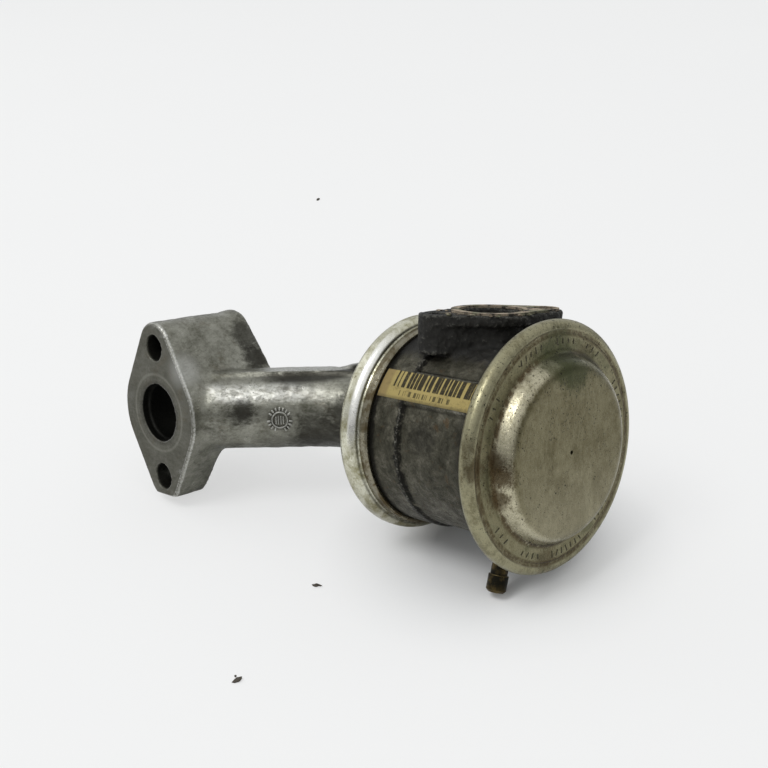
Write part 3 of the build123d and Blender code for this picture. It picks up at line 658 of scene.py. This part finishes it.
def makeElbowFinish(s):
    f = Finish("elbowAlloy", s)
    broad = f.noise(8.0, 6.0, 0.66, warp=0.5)
    streak = f.noise(2.6, 6.0, 0.72, stretch=(1.0, 1.0, 2.2), move=(3, 3, 3), warp=0.4)
    fine = f.noise(0.7, 6.0, 0.75)
    grain = f.noise(0.28, 3.0, 0.6)
    bend, nook = f.value("bend"), f.value("broadBend")
    mixed = f.blend((broad, 0.44), (streak, 0.34), (fine, 0.22))
    f.base(mixed, (0.36, "dark"), (0.66, "pale"), (0.50, "grey"))
    depth = f.axis("Y")
    face = f.zone(depth, "faceTo")
    bore = f.distance((0, 0, 0), (1, 0, 1))
    ringPrint = f.zone(bore, "printBand")
    halo = f.zone(f.uneven(bore, fine, 1.5), "haloTo")
    f.paint("face", face, 0.8)
    f.paint("grey", face, ringPrint, 0.55)
    f.paint("sootAndShade", face, halo, 0.45)
    inside = f.times(f.zone(bore, "boreWall"), f.zone(depth, "boreDepth"))
    holes = f.least(f.distance((0, 0, earAt), (1, 0, 1)), f.distance((0, 0, -earAt), (1, 0, 1)))
    sockets = f.times(f.zone(holes, "socketWall"), f.zone(depth, "socketDepth"))
    stains = f.between(f.noise(9.0, 5.0, 0.7, move=(31, 5, 12), warp=1.2), 0.55, 0.66)
    f.paint("stain", stains, 0.28)
    ragged = f.blend((broad, 0.5), (streak, 0.5))
    for centre, radius, amount in s["soots"]:
        f.paint("sootAndShade", f.spot(centre, radius, 2.4, ragged, 7.0), amount)
    across = f.uneven(f.along(pipeAcross, pipeFrom), streak, 2.4)
    high = f.axis("Z")
    run = f.along(pipeAlong, pipeFrom)
    # painted shade in the crease along the rib's foot on the pipe, with some soot
    f.paint("sootAndShade", f.zone(across, "ribShadeAcross"), f.zone(high, "ribShadeHigh"), f.zone(depth, "ribShadeDepth"), 0.85)
    # painted highlight along the pipe's shoulder, where the metal is also rubbed clean
    highlightZone = f.times(f.zone(high, "highlightHigh"), f.zone(across, "highlightAcross"), f.zone(depth, "highlightDepth"))
    f.paint("shine", highlightZone, f.between(streak, 0.35, 0.6, 0.12, 0.42))
    f.paint("shine", f.spot(s["wipedAt"], 4.5, 3.0, ragged, 3.0), 0.3)
    ridge = f.times(f.zone(high, "ridgeHigh"), f.zone(across, "ridgeAcross"), f.zone(run, "ridgeRun"))
    f.paint("shine", ridge, f.between(fine, 0.36, 0.52), 0.5)
    # the pipe darker towards its underside
    f.paint("sootAndShade", f.zone(f.uneven(high, ragged, 16.0), "lowHigh"), f.zone(run, "lowRun"), 0.7)
    # darker in concave places
    f.paint("sootAndShade", f.between(nook, -0.1, -0.42), 0.55)
    specks = f.between(f.noise(0.62, 2.0, 0.5, move=(7, 0, 3)), 0.665, 0.70)
    specks = f.times(specks, f.between(f.noise(7.0, 3.0, move=(2, 9, 3)), 0.46, 0.58))
    f.paint("pit", specks, 0.55)
    worn = f.times(f.between(bend, 0.035, 0.11), f.between(fine, 0.34, 0.54))
    rimOnly = f.times(f.zone(bore, "rimFrom"), f.zone(holes, "earFrom"))
    # worn bright edges; the stronger brightening right of X = 4 is partly a painted highlight on the flange's
    # right edge
    worn = f.times(worn, f.between(rimOnly, 0.0, 1.0, 0.22, 1.0), f.between(f.axis("X"), 0.0, 4.0, 0.35, 1.0))
    f.paint("shine", worn, f.between(depth, 2.0, 25.0, 0.8, 0.03))
    mark = f.spot(s["markAt"], s["markSize"], 0.6, ragged, 1.2)
    f.paint("sootAndShade", mark, f.between(bend, 0.1, 0.14, 0.55, 0.0))
    f.paint("shine", f.between(bend, 0.16, 0.19), 0.26)
    # painted shade inside the bore and the bolt holes
    f.paint("holeShade", f.most(inside, f.times(sockets, 0.8)), 0.96)
    rough = f.between(mixed, 0.40, 0.60, 0.46, 0.27)
    rough = f.sum(rough, f.times(f.most(inside, face), 0.2))
    relief = f.relief(f.blend((grain, 0.4), (fine, 0.8)), 0.09, f.rounded(0.3))
    relief = f.relief(f.sum(f.inverse(specks), streak), 0.10, relief)
    return f.use(rough, 0.88, relief, Coat_Weight=0.12, Coat_Roughness=0.22)


elbowFinish = makeElbowFinish(elbowSettings)
wear(elbowFinish, "outlet_casting", "elbowSkin")
print("stage: elbow finish")

# ---- cast alloy of the drum and its boss ----

drumSettings = {
    "dark": (0.026, 0.025, 0.016),
    "grey": (0.068, 0.064, 0.046),
    "pale": (0.160, 0.150, 0.115),
    "rust": (0.10, 0.060, 0.026),
    # near black: soot, and the darkening of concave places
    "sootAndShade": (0.0065, 0.006, 0.0045),
    "crust": (0.30, 0.27, 0.22),
    "shine": (0.45, 0.44, 0.38),
    "bossFrom": (23.5, 25.9),    # soot starts this high
    "crustHigh": (28.0, 36.0),
    "capFrom": (112.5, 117.0),
    "stepAt": 92.5,              # greasy line where the band steps down
    "ringAt": 82.4,              # and where the crimp ring ends
    "sootAt": (101.5, 17.0, 5.0),
}


def makeDrumFinish(s):
    f = Finish("drumAlloy", s)
    broad = f.noise(7.0, 6.0, 0.7, warp=0.8)
    blotch = f.noise(2.2, 6.0, 0.75, move=(4, 1, 7), warp=0.5)
    fine = f.noise(0.6, 6.0, 0.75)
    bend, nook = f.value("bend"), f.value("broadBend")
    mixed = f.blend((broad, 0.42), (blotch, 0.36), (fine, 0.22))
    f.base(mixed, (0.40, "dark"), (0.63, "pale"), (0.51, "grey"))
    rusty = f.between(f.noise(3.5, 5.0, 0.7, move=(3, 17, 9), warp=1.0), 0.58, 0.68)
    f.paint("rust", rusty, 0.5)
    across = f.axis("X")
    ragged = f.blend((blotch, 0.6), (fine, 0.4))
    line = f.spot((s["stepAt"], 0, 0), 0.95, 0.5, ragged, 3.2, (1, 0, 0))
    ring = f.spot((s["ringAt"], 0, 0), 1.1, 0.7, ragged, 1.5, (1, 0, 0))
    f.paint("sootAndShade", f.most(line, ring), 0.92)
    f.paint("sootAndShade", f.zone(f.uneven(across, ragged, 9.0), "capFrom"), 0.8)
    f.paint("sootAndShade", f.spot(s["sootAt"], 4.5, 2.5, ragged, 5.0), 0.5)
    height = f.uneven(f.axis("Z"), ragged, 9.0)
    boss = f.zone(height, "bossFrom")
    f.paint("sootAndShade", boss, 0.93)
    flecks = f.between(f.noise(0.5, 4.0, 0.7, move=(5, 5, 5)), 0.63, 0.70)
    f.paint("crust", flecks, f.zone(height, "crustHigh"), 0.45)
    # darker in concave places
    f.paint("sootAndShade", f.between(nook, -0.08, -0.35), 0.8)
    worn = f.times(f.between(bend, 0.05, 0.13), f.between(fine, 0.44, 0.58))
    f.paint("shine", worn, f.between(boss, 0.0, 1.0, 0.45, 0.16))
    rough = f.sum(f.between(mixed, 0.38, 0.64, 0.52, 0.32), f.times(boss, 0.25))
    relief = f.relief(f.sum(fine, blotch), 0.22, f.rounded(0.3))
    return f.use(rough, f.between(boss, 0.0, 1.0, 0.85, 0.30), relief)


wear(makeDrumFinish(drumSettings), "valve_housing", "drumSkin")
print("stage: drum finish")

# ---- yellowed plating of the crimp ring and the cap ----

platingSettings = {
    "pale": (0.66, 0.65, 0.53),
    # near white, for the painted highlight
    "highlightWhite": (0.95, 0.94, 0.89),
    "olive": (0.30, 0.28, 0.165),
    "brown": (0.085, 0.062, 0.030),
    "black": (0.018, 0.015, 0.009),
    "foldAt": 78.2,              # along the drum's axis
    "foldTo": (31.5, 31.0), "skirtFrom": (78.7, 79.3), "brownHigh": (-12.0, -26.0),
    # the highlight zones place a painted highlight on the ring's upper left
    "highlightHigh": (-4.0, 8.0), "highlightSide": (36.0, 24.0), "highlightFace": (75.8, 76.6),
    "highlightRadius": (31.2, 31.6),
}


def makeRingFinish(s):
    f = Finish("ringPlating", s)
    broad = f.noise(6.0, 5.0, 0.66, warp=0.5)
    fine = f.noise(0.7, 6.0, 0.75)
    mixed = f.blend((broad, 0.66), (fine, 0.34))
    f.base(mixed, (0.40, "olive"), (0.56, "pale"))
    radius = f.drumRadius()
    f.paint("brown", f.zone(f.uneven(f.axis("Z"), broad, 20.0), "brownHigh"), 0.36)
    # painted shade: a dark line in the crease of the ring's fold
    foldShade = f.spot((s["foldAt"], 0, 0), 0.5, 0.5, fine, 0.7, (1, 0, 0))
    f.paint("black", foldShade, f.zone(radius, "foldTo"), 0.5)
    f.paint("brown", f.zone(f.axis("X"), "skirtFrom"), f.between(broad, 0.40, 0.56, 0.93, 0.70))
    # painted highlight: a near-white patch on the ring's upper left
    highlightZone = f.times(f.zone(f.axis("Z"), "highlightHigh"), f.zone(f.axis("Y"), "highlightSide"),
                    f.zone(f.axis("X"), "highlightFace"), f.zone(radius, "highlightRadius"))
    f.paint("highlightWhite", highlightZone, f.between(fine, 0.3, 0.5, 0.6, 0.95))
    specks = f.between(f.noise(0.75, 4.0, 0.6, move=(3, 1, 2)), 0.62, 0.68)
    specks = f.times(specks, f.between(f.noise(5.0, 3.0, move=(1, 9, 4)), 0.46, 0.58))
    f.paint("brown", specks, 0.8)
    rough = f.between(mixed, 0.38, 0.58, 0.42, 0.24)
    relief = f.relief(f.sum(fine, f.times(specks, -0.8)), 0.035, f.rounded(0.25))
    return f.use(rough, 0.97, relief)


capSettings = {
    "face": (0.207, 0.187, 0.112),
    "faceDark": (0.125, 0.108, 0.055),
    "wall": (0.49, 0.455, 0.325),
    "land": (0.26, 0.24, 0.145),
    "rim": (0.325, 0.305, 0.195),
    "brown": (0.060, 0.040, 0.018),
    "black": (0.012, 0.010, 0.006),
    "moss": (0.055, 0.060, 0.026),
    "mossAt": (((131.6, 47.5, 23.5), 6.5, 0.85), ((126.2, 46.0, 27.6), 6.5, 0.70),
               ((129.5, 41.0, 25.2), 5.5, 0.75), ((128.0, 58.0, 22.0), 4.5, 0.55)),
    # brown burns: centre, radius, how strong
    "burns": (((127.1, 18.3, 2.2), 3, 0.80), ((128.8, 19.3, -1.5), 3.4, 0.90), ((127.2, 19.5, -8), 3, 0.80),
              ((125.6, 11.5, 1.5), 3.2, 0.70), ((125.4, 10.4, 8), 2, 0.45), ((126.1, 40, -31), 4, 0.50),
              ((126.1, 58, 24), 4, 0.45)),
    # zones, by the distance from the drum's axis
    "wallBand": ((23.4, 25.0), (27.8, 26.6)), "footBand": ((26.4, 27.0), (28.6, 27.3)),
    "landFrom": (26.6, 27.6), "grimyBand": ((27.0, 28.2), (31.8, 31.0)), "rimFrom": (31.9, 32.7),
    "grooveBand": ((31.2, 31.9), (33.7, 33.0)), "smoothBand": ((23.0, 24.6), (28.4, 27.4)),
    "lightTo": (24.8, 23.4), "lightHigh": (4.0, -24.0),      # and lighter towards the bottom
}


def makeCapFinish(s):
    f = Finish("capPlating", s)
    broad = f.noise(9.0, 6.0, 0.62, warp=0.5)
    blotch = f.noise(2.4, 6.0, 0.72, stretch=(1, 1.6, 0.8), move=(2, 6, 1))
    fine = f.noise(0.5, 6.0, 0.78)
    mixed = f.blend((broad, 0.34), (blotch, 0.36), (fine, 0.3))
    ragged = f.blend((blotch, 0.6), (fine, 0.4))
    radius = f.uneven(f.drumRadius(), ragged, 1.2)
    f.base(mixed, (0.40, "faceDark"), (0.60, "face"))
    f.paint("land", f.zone(radius, "landFrom"), 0.9)
    f.paint("wall", f.zone(radius, "wallBand"))
    f.paint("rim", f.zone(radius, "rimFrom"), 0.9)
    f.paint("faceDark", f.between(mixed, 0.52, 0.42), 0.55)
    f.paint("brown", f.zone(radius, "footBand"), f.between(blotch, 0.36, 0.52), 0.9)
    f.paint("brown", f.zone(f.drumRadius(), "grooveBand"), f.between(ragged, 0.4, 0.54), 0.85)
    f.paint("moss", f.zone(radius, "grimyBand"), f.between(broad, 0.46, 0.62), 0.5)
    for centre, size, amount in s["burns"]:
        f.paint("brown", f.spot(centre, size, 1.6, ragged, 5.0), amount)
    for centre, size, amount in s["mossAt"]:
        f.paint("moss", f.spot(centre, size, 2.5, ragged, 6.0), amount)
    f.paint("wall", f.zone(f.axis("Z"), "lightHigh"), f.zone(radius, "lightTo"), 0.3)
    pits = f.between(f.noise(0.62, 3.0, 0.55, move=(4, 4, 1)), 0.615, 0.655)
    crowd = f.between(f.sum(f.noise(5.0, 4.0, 0.6, move=(11, 2, 8)), f.times(f.axis("Z"), 0.004)), 0.45, 0.60)
    f.paint("black", pits, crowd, 0.9)
    dust = f.between(f.noise(0.36, 3.0, 0.6, move=(9, 4, 1)), 0.60, 0.66)
    f.paint("black", dust, 0.45)
    rough = f.between(mixed, 0.40, 0.62, 0.44, 0.27)
    rough = f.sum(rough, f.times(f.zone(f.drumRadius(), "smoothBand"), -0.07))
    relief = f.relief(f.sum(fine, blotch, f.times(pits, -1.2)), 0.045, f.rounded(0.25))
    return f.use(rough, 0.97, relief)


wear(makeRingFinish(platingSettings), "outlet_crimp_ring")
wear(makeCapFinish(capSettings), "vacuum_cap")
print("stage: plated ring and cap")

# ---- small visible pieces ----

nippleSettings = {"dark": (0.011, 0.010, 0.006), "brass": (0.17, 0.12, 0.042), "worn": (0.55, 0.42, 0.18),
                  "tipAt": (114.8, 31.5, -40.9)}


def makeNippleFinish(s):
    f = Finish("tarnishedBrass", s)
    broad = f.noise(3.0, 5.0, 0.65)
    f.base(broad, (0.46, "dark"), (0.80, "brass"))
    tip = f.spot(s["tipAt"], 2.6, 1.0, broad, 2.0)
    f.paint("brass", tip, 0.6)
    worn = f.edge(0.35, 0.03, 0.2)
    f.paint("worn", worn, 0.4)
    rough = f.between(broad, 0.3, 0.7, 0.55, 0.32)
    return f.use(rough, 0.9, f.relief(f.noise(0.5), 0.06, f.rounded(0.2)))


labelSettings = {
    "foil": (0.36, 0.285, 0.105), "orange": (0.24, 0.175, 0.075), "dirt": (0.070, 0.056, 0.030),
    "ink": (0.008, 0.007, 0.005),
    "blankTo": (86.1, 84.9),                     # plain end
    "barsAcross": ((86.8, 87.0), (118.6, 118.4)), "barsHigh": (16.9, 17.15),
    "rowAcross": ((90.0, 90.3), (110.0, 109.6)), "rowHigh": ((14.9, 15.1), (16.4, 16.2)),
    "topFrom": (20.6, 21.5), "footFrom": (15.0, 14.2),       # dirty edges
}


def makeLabelFinish(s):
    f = Finish("labelFoil", s)
    broad = f.noise(4.0, 6.0, 0.7)
    fine = f.noise(0.5, 6.0, 0.75)
    across, high = f.axis("X"), f.axis("Z")
    f.tone = s["foil"]
    f.paint("orange", f.zone(f.uneven(across, fine, 1.0), "blankTo"), 0.8)
    bars = f.between(f.stripes(across, 0.80, 1.2, 0.7), 0.440, 0.452)
    area = f.times(f.zone(across, "barsAcross"), f.zone(high, "barsHigh"))
    worn = f.between(f.blend((fine, 0.6), (broad, 0.4)), 0.4, 0.47, 0.8, 1.0)
    f.paint("ink", bars, area, f.times(worn, 0.95))
    row = f.stripes(across, 0.95, 1.0, 0.5)
    area = f.times(f.zone(across, "rowAcross"), f.zone(high, "rowHigh"))
    f.paint("ink", f.between(row, 0.5, 0.53), area, f.times(worn, 0.75))
    smudge = f.between(f.blend((broad, 0.6), (fine, 0.4)), 0.49, 0.64)
    f.paint("dirt", smudge, 0.45)
    f.paint("dirt", f.most(f.zone(high, "topFrom"), f.zone(high, "footFrom")), 0.5)
    rough = f.between(broad, 0.35, 0.65, 0.45, 0.65)
    return f.use(rough, 0.10, f.relief(fine, 0.03), Specular_IOR_Level=0.15)


gasketSettings = {"fibre": (0.27, 0.19, 0.12), "char": (0.018, 0.015, 0.011), "pale": (0.45, 0.41, 0.32),
                  "green": (0.12, 0.13, 0.07)}


def makeGasketFinish(s):
    f = Finish("burntGasket", s)
    broad = f.noise(3.2, 5.0, 0.7)
    fine = f.noise(0.5, 6.0, 0.75, stretch=(1, 2.2, 1))
    f.base(fine, (0.36, "fibre"), (0.68, "pale"))
    f.paint("green", f.between(f.noise(4.5, 3.0, move=(2, 2, 8)), 0.48, 0.58), 0.75)
    f.paint("char", f.between(broad, 0.47, 0.60))
    side = f.between(f.facing(inletAxis), 0.95, 0.75)
    f.paint("char", side, 0.35)
    return f.use(0.9, 0.0, f.relief(f.sum(fine, broad), 0.25))


wear(makeNippleFinish(nippleSettings), "vacuum_nipple")
wear(makeLabelFinish(labelSettings), "label")
gasketFinish = makeGasketFinish(gasketSettings)
wear(gasketFinish, "inlet_gasket")
print("stage: nipple, label and gasket")

# ---- foundry mark on the pipe: a plain ring with ticks and bars ----

markSettings = {
    "run": 28.8,                 # along the pipe
    "high": -0.7,
    "radius": 12.42,             # the pipe's
    "proud": 0.22,
    "flatten": 0.75,             # share of its height that is left
    "ring": 2.45, "wire": 0.26, "ticks": 19, "skip": (4, 9, 10, 15), "tickAt": 3.45,
    "tickSize": (0.55, 1.15, 0.66), "bars": (-1.15, -0.4, 0.4, 1.15), "barSize": (0.36, 2.7, 0.62),
    "bend": 0.20,                # the elbow's finish reads it as an edge that is worn bright
}


def modelBar(size):              # a small bar with softened edges, flat on the ground
    selectNone()
    bpy.ops.mesh.primitive_cube_add(size=mm)
    bar = bpy.context.object
    softening = {"offset": 0.28 * min(size) * mm, "segments": 2, "affect": "EDGES"}
    onMesh((bpy.ops.transform.resize, {"value": size}), (bpy.ops.mesh.bevel, softening))
    return bar


def placeCopy(model, place, turn, longer=1.0, onto=None):
    piece = addCopy(model, model.name + "Copy")
    shape = Matrix.Rotation(turn, 4, "Z") @ Matrix.Diagonal((1, longer, 1, 1))
    piece.data.transform((onto or Matrix()) @ Matrix.Translation(Vector(place) * mm) @ shape)
    return piece


def joinPieces(pieces, title):
    selectNone()
    for piece in pieces:
        piece.select_set(True)
    bpy.context.view_layer.objects.active = pieces[0]
    bpy.ops.object.join()
    joined = bpy.context.object
    joined.name = joined.data.name = title
    return joined


def makeMark(s):
    selectNone()
    bpy.ops.mesh.primitive_torus_add(major_radius=s["ring"] * mm, minor_radius=s["wire"] * mm,
                                     major_segments=56, minor_segments=8)
    pieces = [bpy.context.object]
    tick, bar = modelBar(s["tickSize"]), modelBar(s["barSize"])
    for index in range(s["ticks"]):
        if index not in s["skip"]:
            turn = 2 * math.pi * index / s["ticks"]
            place = (-s["tickAt"] * math.sin(turn), s["tickAt"] * math.cos(turn), 0)
            pieces.append(placeCopy(tick, place, turn))
    for offset in s["bars"]:
        pieces.append(placeCopy(bar, (offset, 0, 0), 0, math.sqrt(1 - (offset / s["ring"]) ** 2)))
    bpy.data.objects.remove(tick)
    bpy.data.objects.remove(bar)
    mark = joinPieces(pieces, "foundryMark")
    up = Vector((0, 0, 1))
    start, along, out = Vector(pipeFrom) + s["high"] * up, Vector(pipeAlong), -Vector(pipeAcross)
    for vertex in mark.data.vertices:
        u, v, height = vertex.co / mm
        angle = v / s["radius"]
        around = math.cos(angle) * out + math.sin(angle) * up
        far = s["radius"] + s["proud"] + s["flatten"] * height
        vertex.co = (start + (s["run"] + u) * along + far * around) * mm
    bpy.ops.object.shade_smooth()
    keepValues(mark, "bend", np.full(len(mark.data.vertices), s["bend"]))
    keepValues(mark, "broadBend", np.zeros(len(mark.data.vertices)))
    mark.data.materials.append(elbowFinish)
    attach(mark, "root")


makeMark(markSettings)
print("stage: foundry mark")

# ---- stamped ticks round the cap, all plain ----

stampSettings = {
    "radius": 30.2, "face": 126.1, "size": (0.42, 1.9, 0.12), "seed": 7,
    "slant": 24,                 # degrees, to both sides
    "longer": (0.7, 1.1),
    # the ticks' dark tone is painted shade of stamped recesses, on bars half sunk in the face
    "dark": (0.016, 0.013, 0.008), "pale": (0.09, 0.08, 0.05),
    # groups: first angle in degrees from the top, how many ticks, step in degrees
    "groups": ((-62, 3, 5.0), (-28, 5, 4.2), (2, 4, 4.6), (28, 3, 5.2), (62, 6, 4.4), (98, 4, 5.0),
               (128, 5, 4.2), (160, 7, 4.0), (196, 4, 4.6), (226, 3, 5.0)),
}


def makeStamps(s):
    maker = random.Random(s["seed"])
    tick = modelBar(s["size"])
    pieces = []
    for first, count, step in s["groups"]:
        for index in range(count):
            angle = math.radians(first + index * step)
            rise, run = math.cos(angle), math.sin(angle)
            place = Vector((s["face"], drumY + s["radius"] * run, s["radius"] * rise))
            axes = Matrix(((0, 0, 1), (rise, run, 0), (-run, rise, 0)))
            onto = Matrix.Translation(place * mm) @ axes.to_4x4()
            turn = math.radians(maker.uniform(-s["slant"], s["slant"]))
            pieces.append(placeCopy(tick, (0, 0, 0), turn, maker.uniform(*s["longer"]), onto))
    bpy.data.objects.remove(tick)
    stamps = joinPieces(pieces, "capStamps")
    stamps.data.materials.append(makePlainFinish("stampShade", s, 0.6, 0.4, 0.8))
    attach(stamps, "root")


makeStamps(stampSettings)
print("stage: stamped ticks")

# ---- threads in the inlet bolt holes ----

threadSettings = {
    "holes": ((94.10, 32.65, 36.85), (108.30, 62.36, 34.77)), "radius": 2.5, "depth": 0.36, "pitch": 1.0,
    "turns": 8, "steps": 28,
    "root": 0.08,                # how far a ridge's foot sinks into the wall
    "halfFoot": 0.46,            # share of the pitch
    "below": 0.6,                # the first ridge starts this much under the last turn's depth
    "dark": (0.03, 0.028, 0.02), "pale": (0.24, 0.235, 0.20),
}


def inletAxes():                 # X, the way along the inlet face, and out of it
    axis, side = Vector(inletAxis), Vector((1, 0, 0))
    return Matrix((side, axis.cross(side), axis)).transposed().to_4x4()


def makeThreads(s):
    selectNone()
    bpy.ops.mesh.primitive_circle_add(vertices=3, radius=s["depth"] * mm)
    ridge = bpy.context.object
    outer, inner, foot = s["radius"] + s["root"], s["radius"] - s["depth"], s["halfFoot"]
    for vertex, (radius, height) in zip(ridge.data.vertices, ((outer, -foot), (inner, 0.0), (outer, foot))):
        vertex.co = (radius * mm, 0, height * s["pitch"] * mm)
    applyModifier(ridge, "SCREW", axis="Z", screw_offset=s["pitch"] * mm, iterations=s["turns"],
                  steps=s["steps"], render_steps=s["steps"], use_merge_vertices=False)
    onMesh((bpy.ops.mesh.fill_holes, {"sides": 3}), (bpy.ops.mesh.normals_make_consistent, {"inside": False}))
    threads = []
    for hole in s["holes"]:
        bottom = (Vector(hole) - Vector(inletAxis) * (s["turns"] + s["below"])) * mm
        threads.append(placeCopy(ridge, (0, 0, 0), 0, onto=Matrix.Translation(bottom) @ inletAxes()))
    bpy.data.objects.remove(ridge)
    made = joinPieces(threads, "inletThreads")
    made.data.materials.append(makePlainFinish("cutThread", s, 0.55, 0.35, 0.9))
    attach(made, "root")


makeThreads(threadSettings)
print("stage: threads")

# ---- flakes of burnt gasket on the inlet face ----

flakeSettings = {
    "centre": (101.2, 47.50, 35.81), "seed": 11, "count": 46, "size": (0.30, 1.05),
    "spread": (10.6, 13.6),      # from the inlet's middle
    "earSpread": (10.6, 17),     # towards the two ears
    "earTurn": 1.13,
    "earShare": 0.8,
    "narrower": 0.92,            # the ring of flakes, along X
    "proud": 0.10,
    "uneven": (0.72, 1.25),
    "flat": (0.22, 0.25),        # least thickness as a share of the width, and what chance adds
}


def makeFlakes(s):
    maker = random.Random(s["seed"])
    axes = inletAxes()
    selectNone()
    bpy.ops.mesh.primitive_ico_sphere_add(subdivisions=2, radius=mm)
    model = bpy.context.object
    flakes = []
    for _ in range(s["count"]):
        turn = maker.uniform(0, 2 * math.pi)
        nearEar = abs(math.cos(turn - s["earTurn"])) >= s["earShare"]
        spread = maker.uniform(*(s["earSpread"] if nearEar else s["spread"]))
        size = maker.uniform(*s["size"])
        flake = addCopy(model, "flake")
        for vertex in flake.data.vertices:
            vertex.co *= size * maker.uniform(*s["uneven"])
            vertex.co.z *= s["flat"][0] + s["flat"][1] * maker.random()
        offset = Vector((math.cos(turn) * spread * s["narrower"], math.sin(turn) * spread, s["proud"]))
        spin = Matrix.Rotation(maker.uniform(0, 6.28), 4, "Z")
        flake.data.transform(Matrix.Translation((Vector(s["centre"]) + axes @ offset) * mm) @ axes @ spin)
        flakes.append(flake)
    bpy.data.objects.remove(model)
    made = joinPieces(flakes, "gasketFlakes")
    made.data.materials.append(gasketFinish)
    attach(made, "root")


makeFlakes(flakeSettings)
print("stage: gasket flakes")

# ---- springs and diaphragm, as smooth-shaded copies; the diaphragm is cut into a rim and a middle ----

springSettings = {
    # piece: node, joint, place of the fixed end, length, travel
    "returnCoil": ("return_spring", "valve_lift", 113.1, 11.5, 4.8),
    "checkCoil": ("check_spring", "check_lift", 67.7, 6.2, 2.5),
}
diaphragmSettings = {"splitAt": 20.75, "rolls": (119.0, 125.4)}


def makeSpring(title, node, joint, foot, length, travel):
    spring = copyOfNode(node, title)
    bpy.ops.object.shade_smooth_by_angle(angle=math.radians(65))
    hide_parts(node)
    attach(spring, "root")
    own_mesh(spring)


def makeDiaphragmPart(title, split, outer):
    part = copyOfNode("diaphragm", title)
    bpy.ops.object.mode_set(mode="EDIT")
    bpy.ops.mesh.select_mode(type="FACE")
    bpy.ops.mesh.select_all(action="DESELECT")
    bpy.ops.object.mode_set(mode="OBJECT")
    for face in part.data.polygons:
        face.select = (math.hypot(face.center.y - drumY * mm, face.center.z) < split * mm) == outer
    bpy.ops.object.mode_set(mode="EDIT")
    bpy.ops.mesh.delete(type="FACE")
    bpy.ops.mesh.select_mode(type="EDGE")
    bpy.ops.mesh.select_all(action="DESELECT")
    bpy.ops.mesh.select_non_manifold()
    bpy.ops.mesh.bridge_edge_loops()
    bpy.ops.mesh.select_all(action="SELECT")
    bpy.ops.mesh.normals_make_consistent(inside=False)
    bpy.ops.object.mode_set(mode="OBJECT")
    bpy.ops.object.shade_smooth_by_angle(angle=math.radians(40))
    return part


def makeDiaphragm(s):
    rim = makeDiaphragmPart("diaphragmRim", s["splitAt"], True)
    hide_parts("diaphragm")
    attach(rim, "root")
    middle = makeDiaphragmPart("diaphragmMiddle", s["splitAt"], False)
    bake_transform(middle)


for title, values in springSettings.items():
    makeSpring(title, *values)
makeDiaphragm(diaphragmSettings)
print("stage: springs and diaphragm")

# ---- pieces inside, seen when it is taken apart ----

insideSettings = {
    # darker tone, lighter tone, grain size, roughness, metal, then the pieces
    "turnedSteel": ((0.30, 0.30, 0.29), (0.55, 0.55, 0.54), 0.35, 0.30, 1.0,
                    "valve_stem", "valve_disc", "disc_support_washer", "valve_seat", "stem_seal_retainer",
                    "check_plate", "check_disc", "check_stop", "check_collar", "check_rivet"),
    "springWire": ((0.12, 0.12, 0.12), (0.34, 0.34, 0.35), 0.6, 0.36, 1.0,
                   "return_spring", "check_spring", "returnCoil", "checkCoil"),
    "sinteredBronze": ((0.26, 0.15, 0.06), (0.58, 0.40, 0.19), 0.25, 0.48, 1.0, "guide_bush"),
    "blackRubber": ((0.012, 0.012, 0.012), (0.045, 0.044, 0.042), 0.5, 0.72, 0.0,
                    "diaphragm", "diaphragmRim", "diaphragmMiddle", "valve_disc_seal", "stem_seal",
                    "rim_seal"),
    "pressedSteel": ((0.20, 0.19, 0.13), (0.46, 0.44, 0.34), 0.8, 0.40, 1.0,
                     "spring_seat", "diaphragm_dish", "diaphragm_backing_plate"),
}


def makeInsideFinish(name, dark, pale, size, roughness, metal):
    f = Finish(name, {"dark": dark, "pale": pale, "sootAndShade": (0.02, 0.018, 0.014)})
    broad = f.noise(size * 12, 4.0, 0.6)
    fine = f.noise(size, 5.0, 0.7, stretch=(4, 1, 1))
    mixed = f.blend((broad, 0.6), (fine, 0.4))
    f.base(mixed, (0.32, "dark"), (0.68, "pale"))
    sooty = f.between(f.noise(6.0, 5.0, 0.7, move=(8, 8, 8)), 0.56, 0.70)
    f.paint("sootAndShade", sooty, 0.5)
    rough = f.between(mixed, 0.3, 0.7, roughness + 0.12, roughness - 0.05)
    return f.use(rough, metal, f.relief(fine, 0.03, f.rounded(0.15)))


for name, (dark, pale, size, roughness, metal, *pieces) in insideSettings.items():
    wear(makeInsideFinish(name, dark, pale, size, roughness, metal), *pieces)
print("stage: inside pieces")
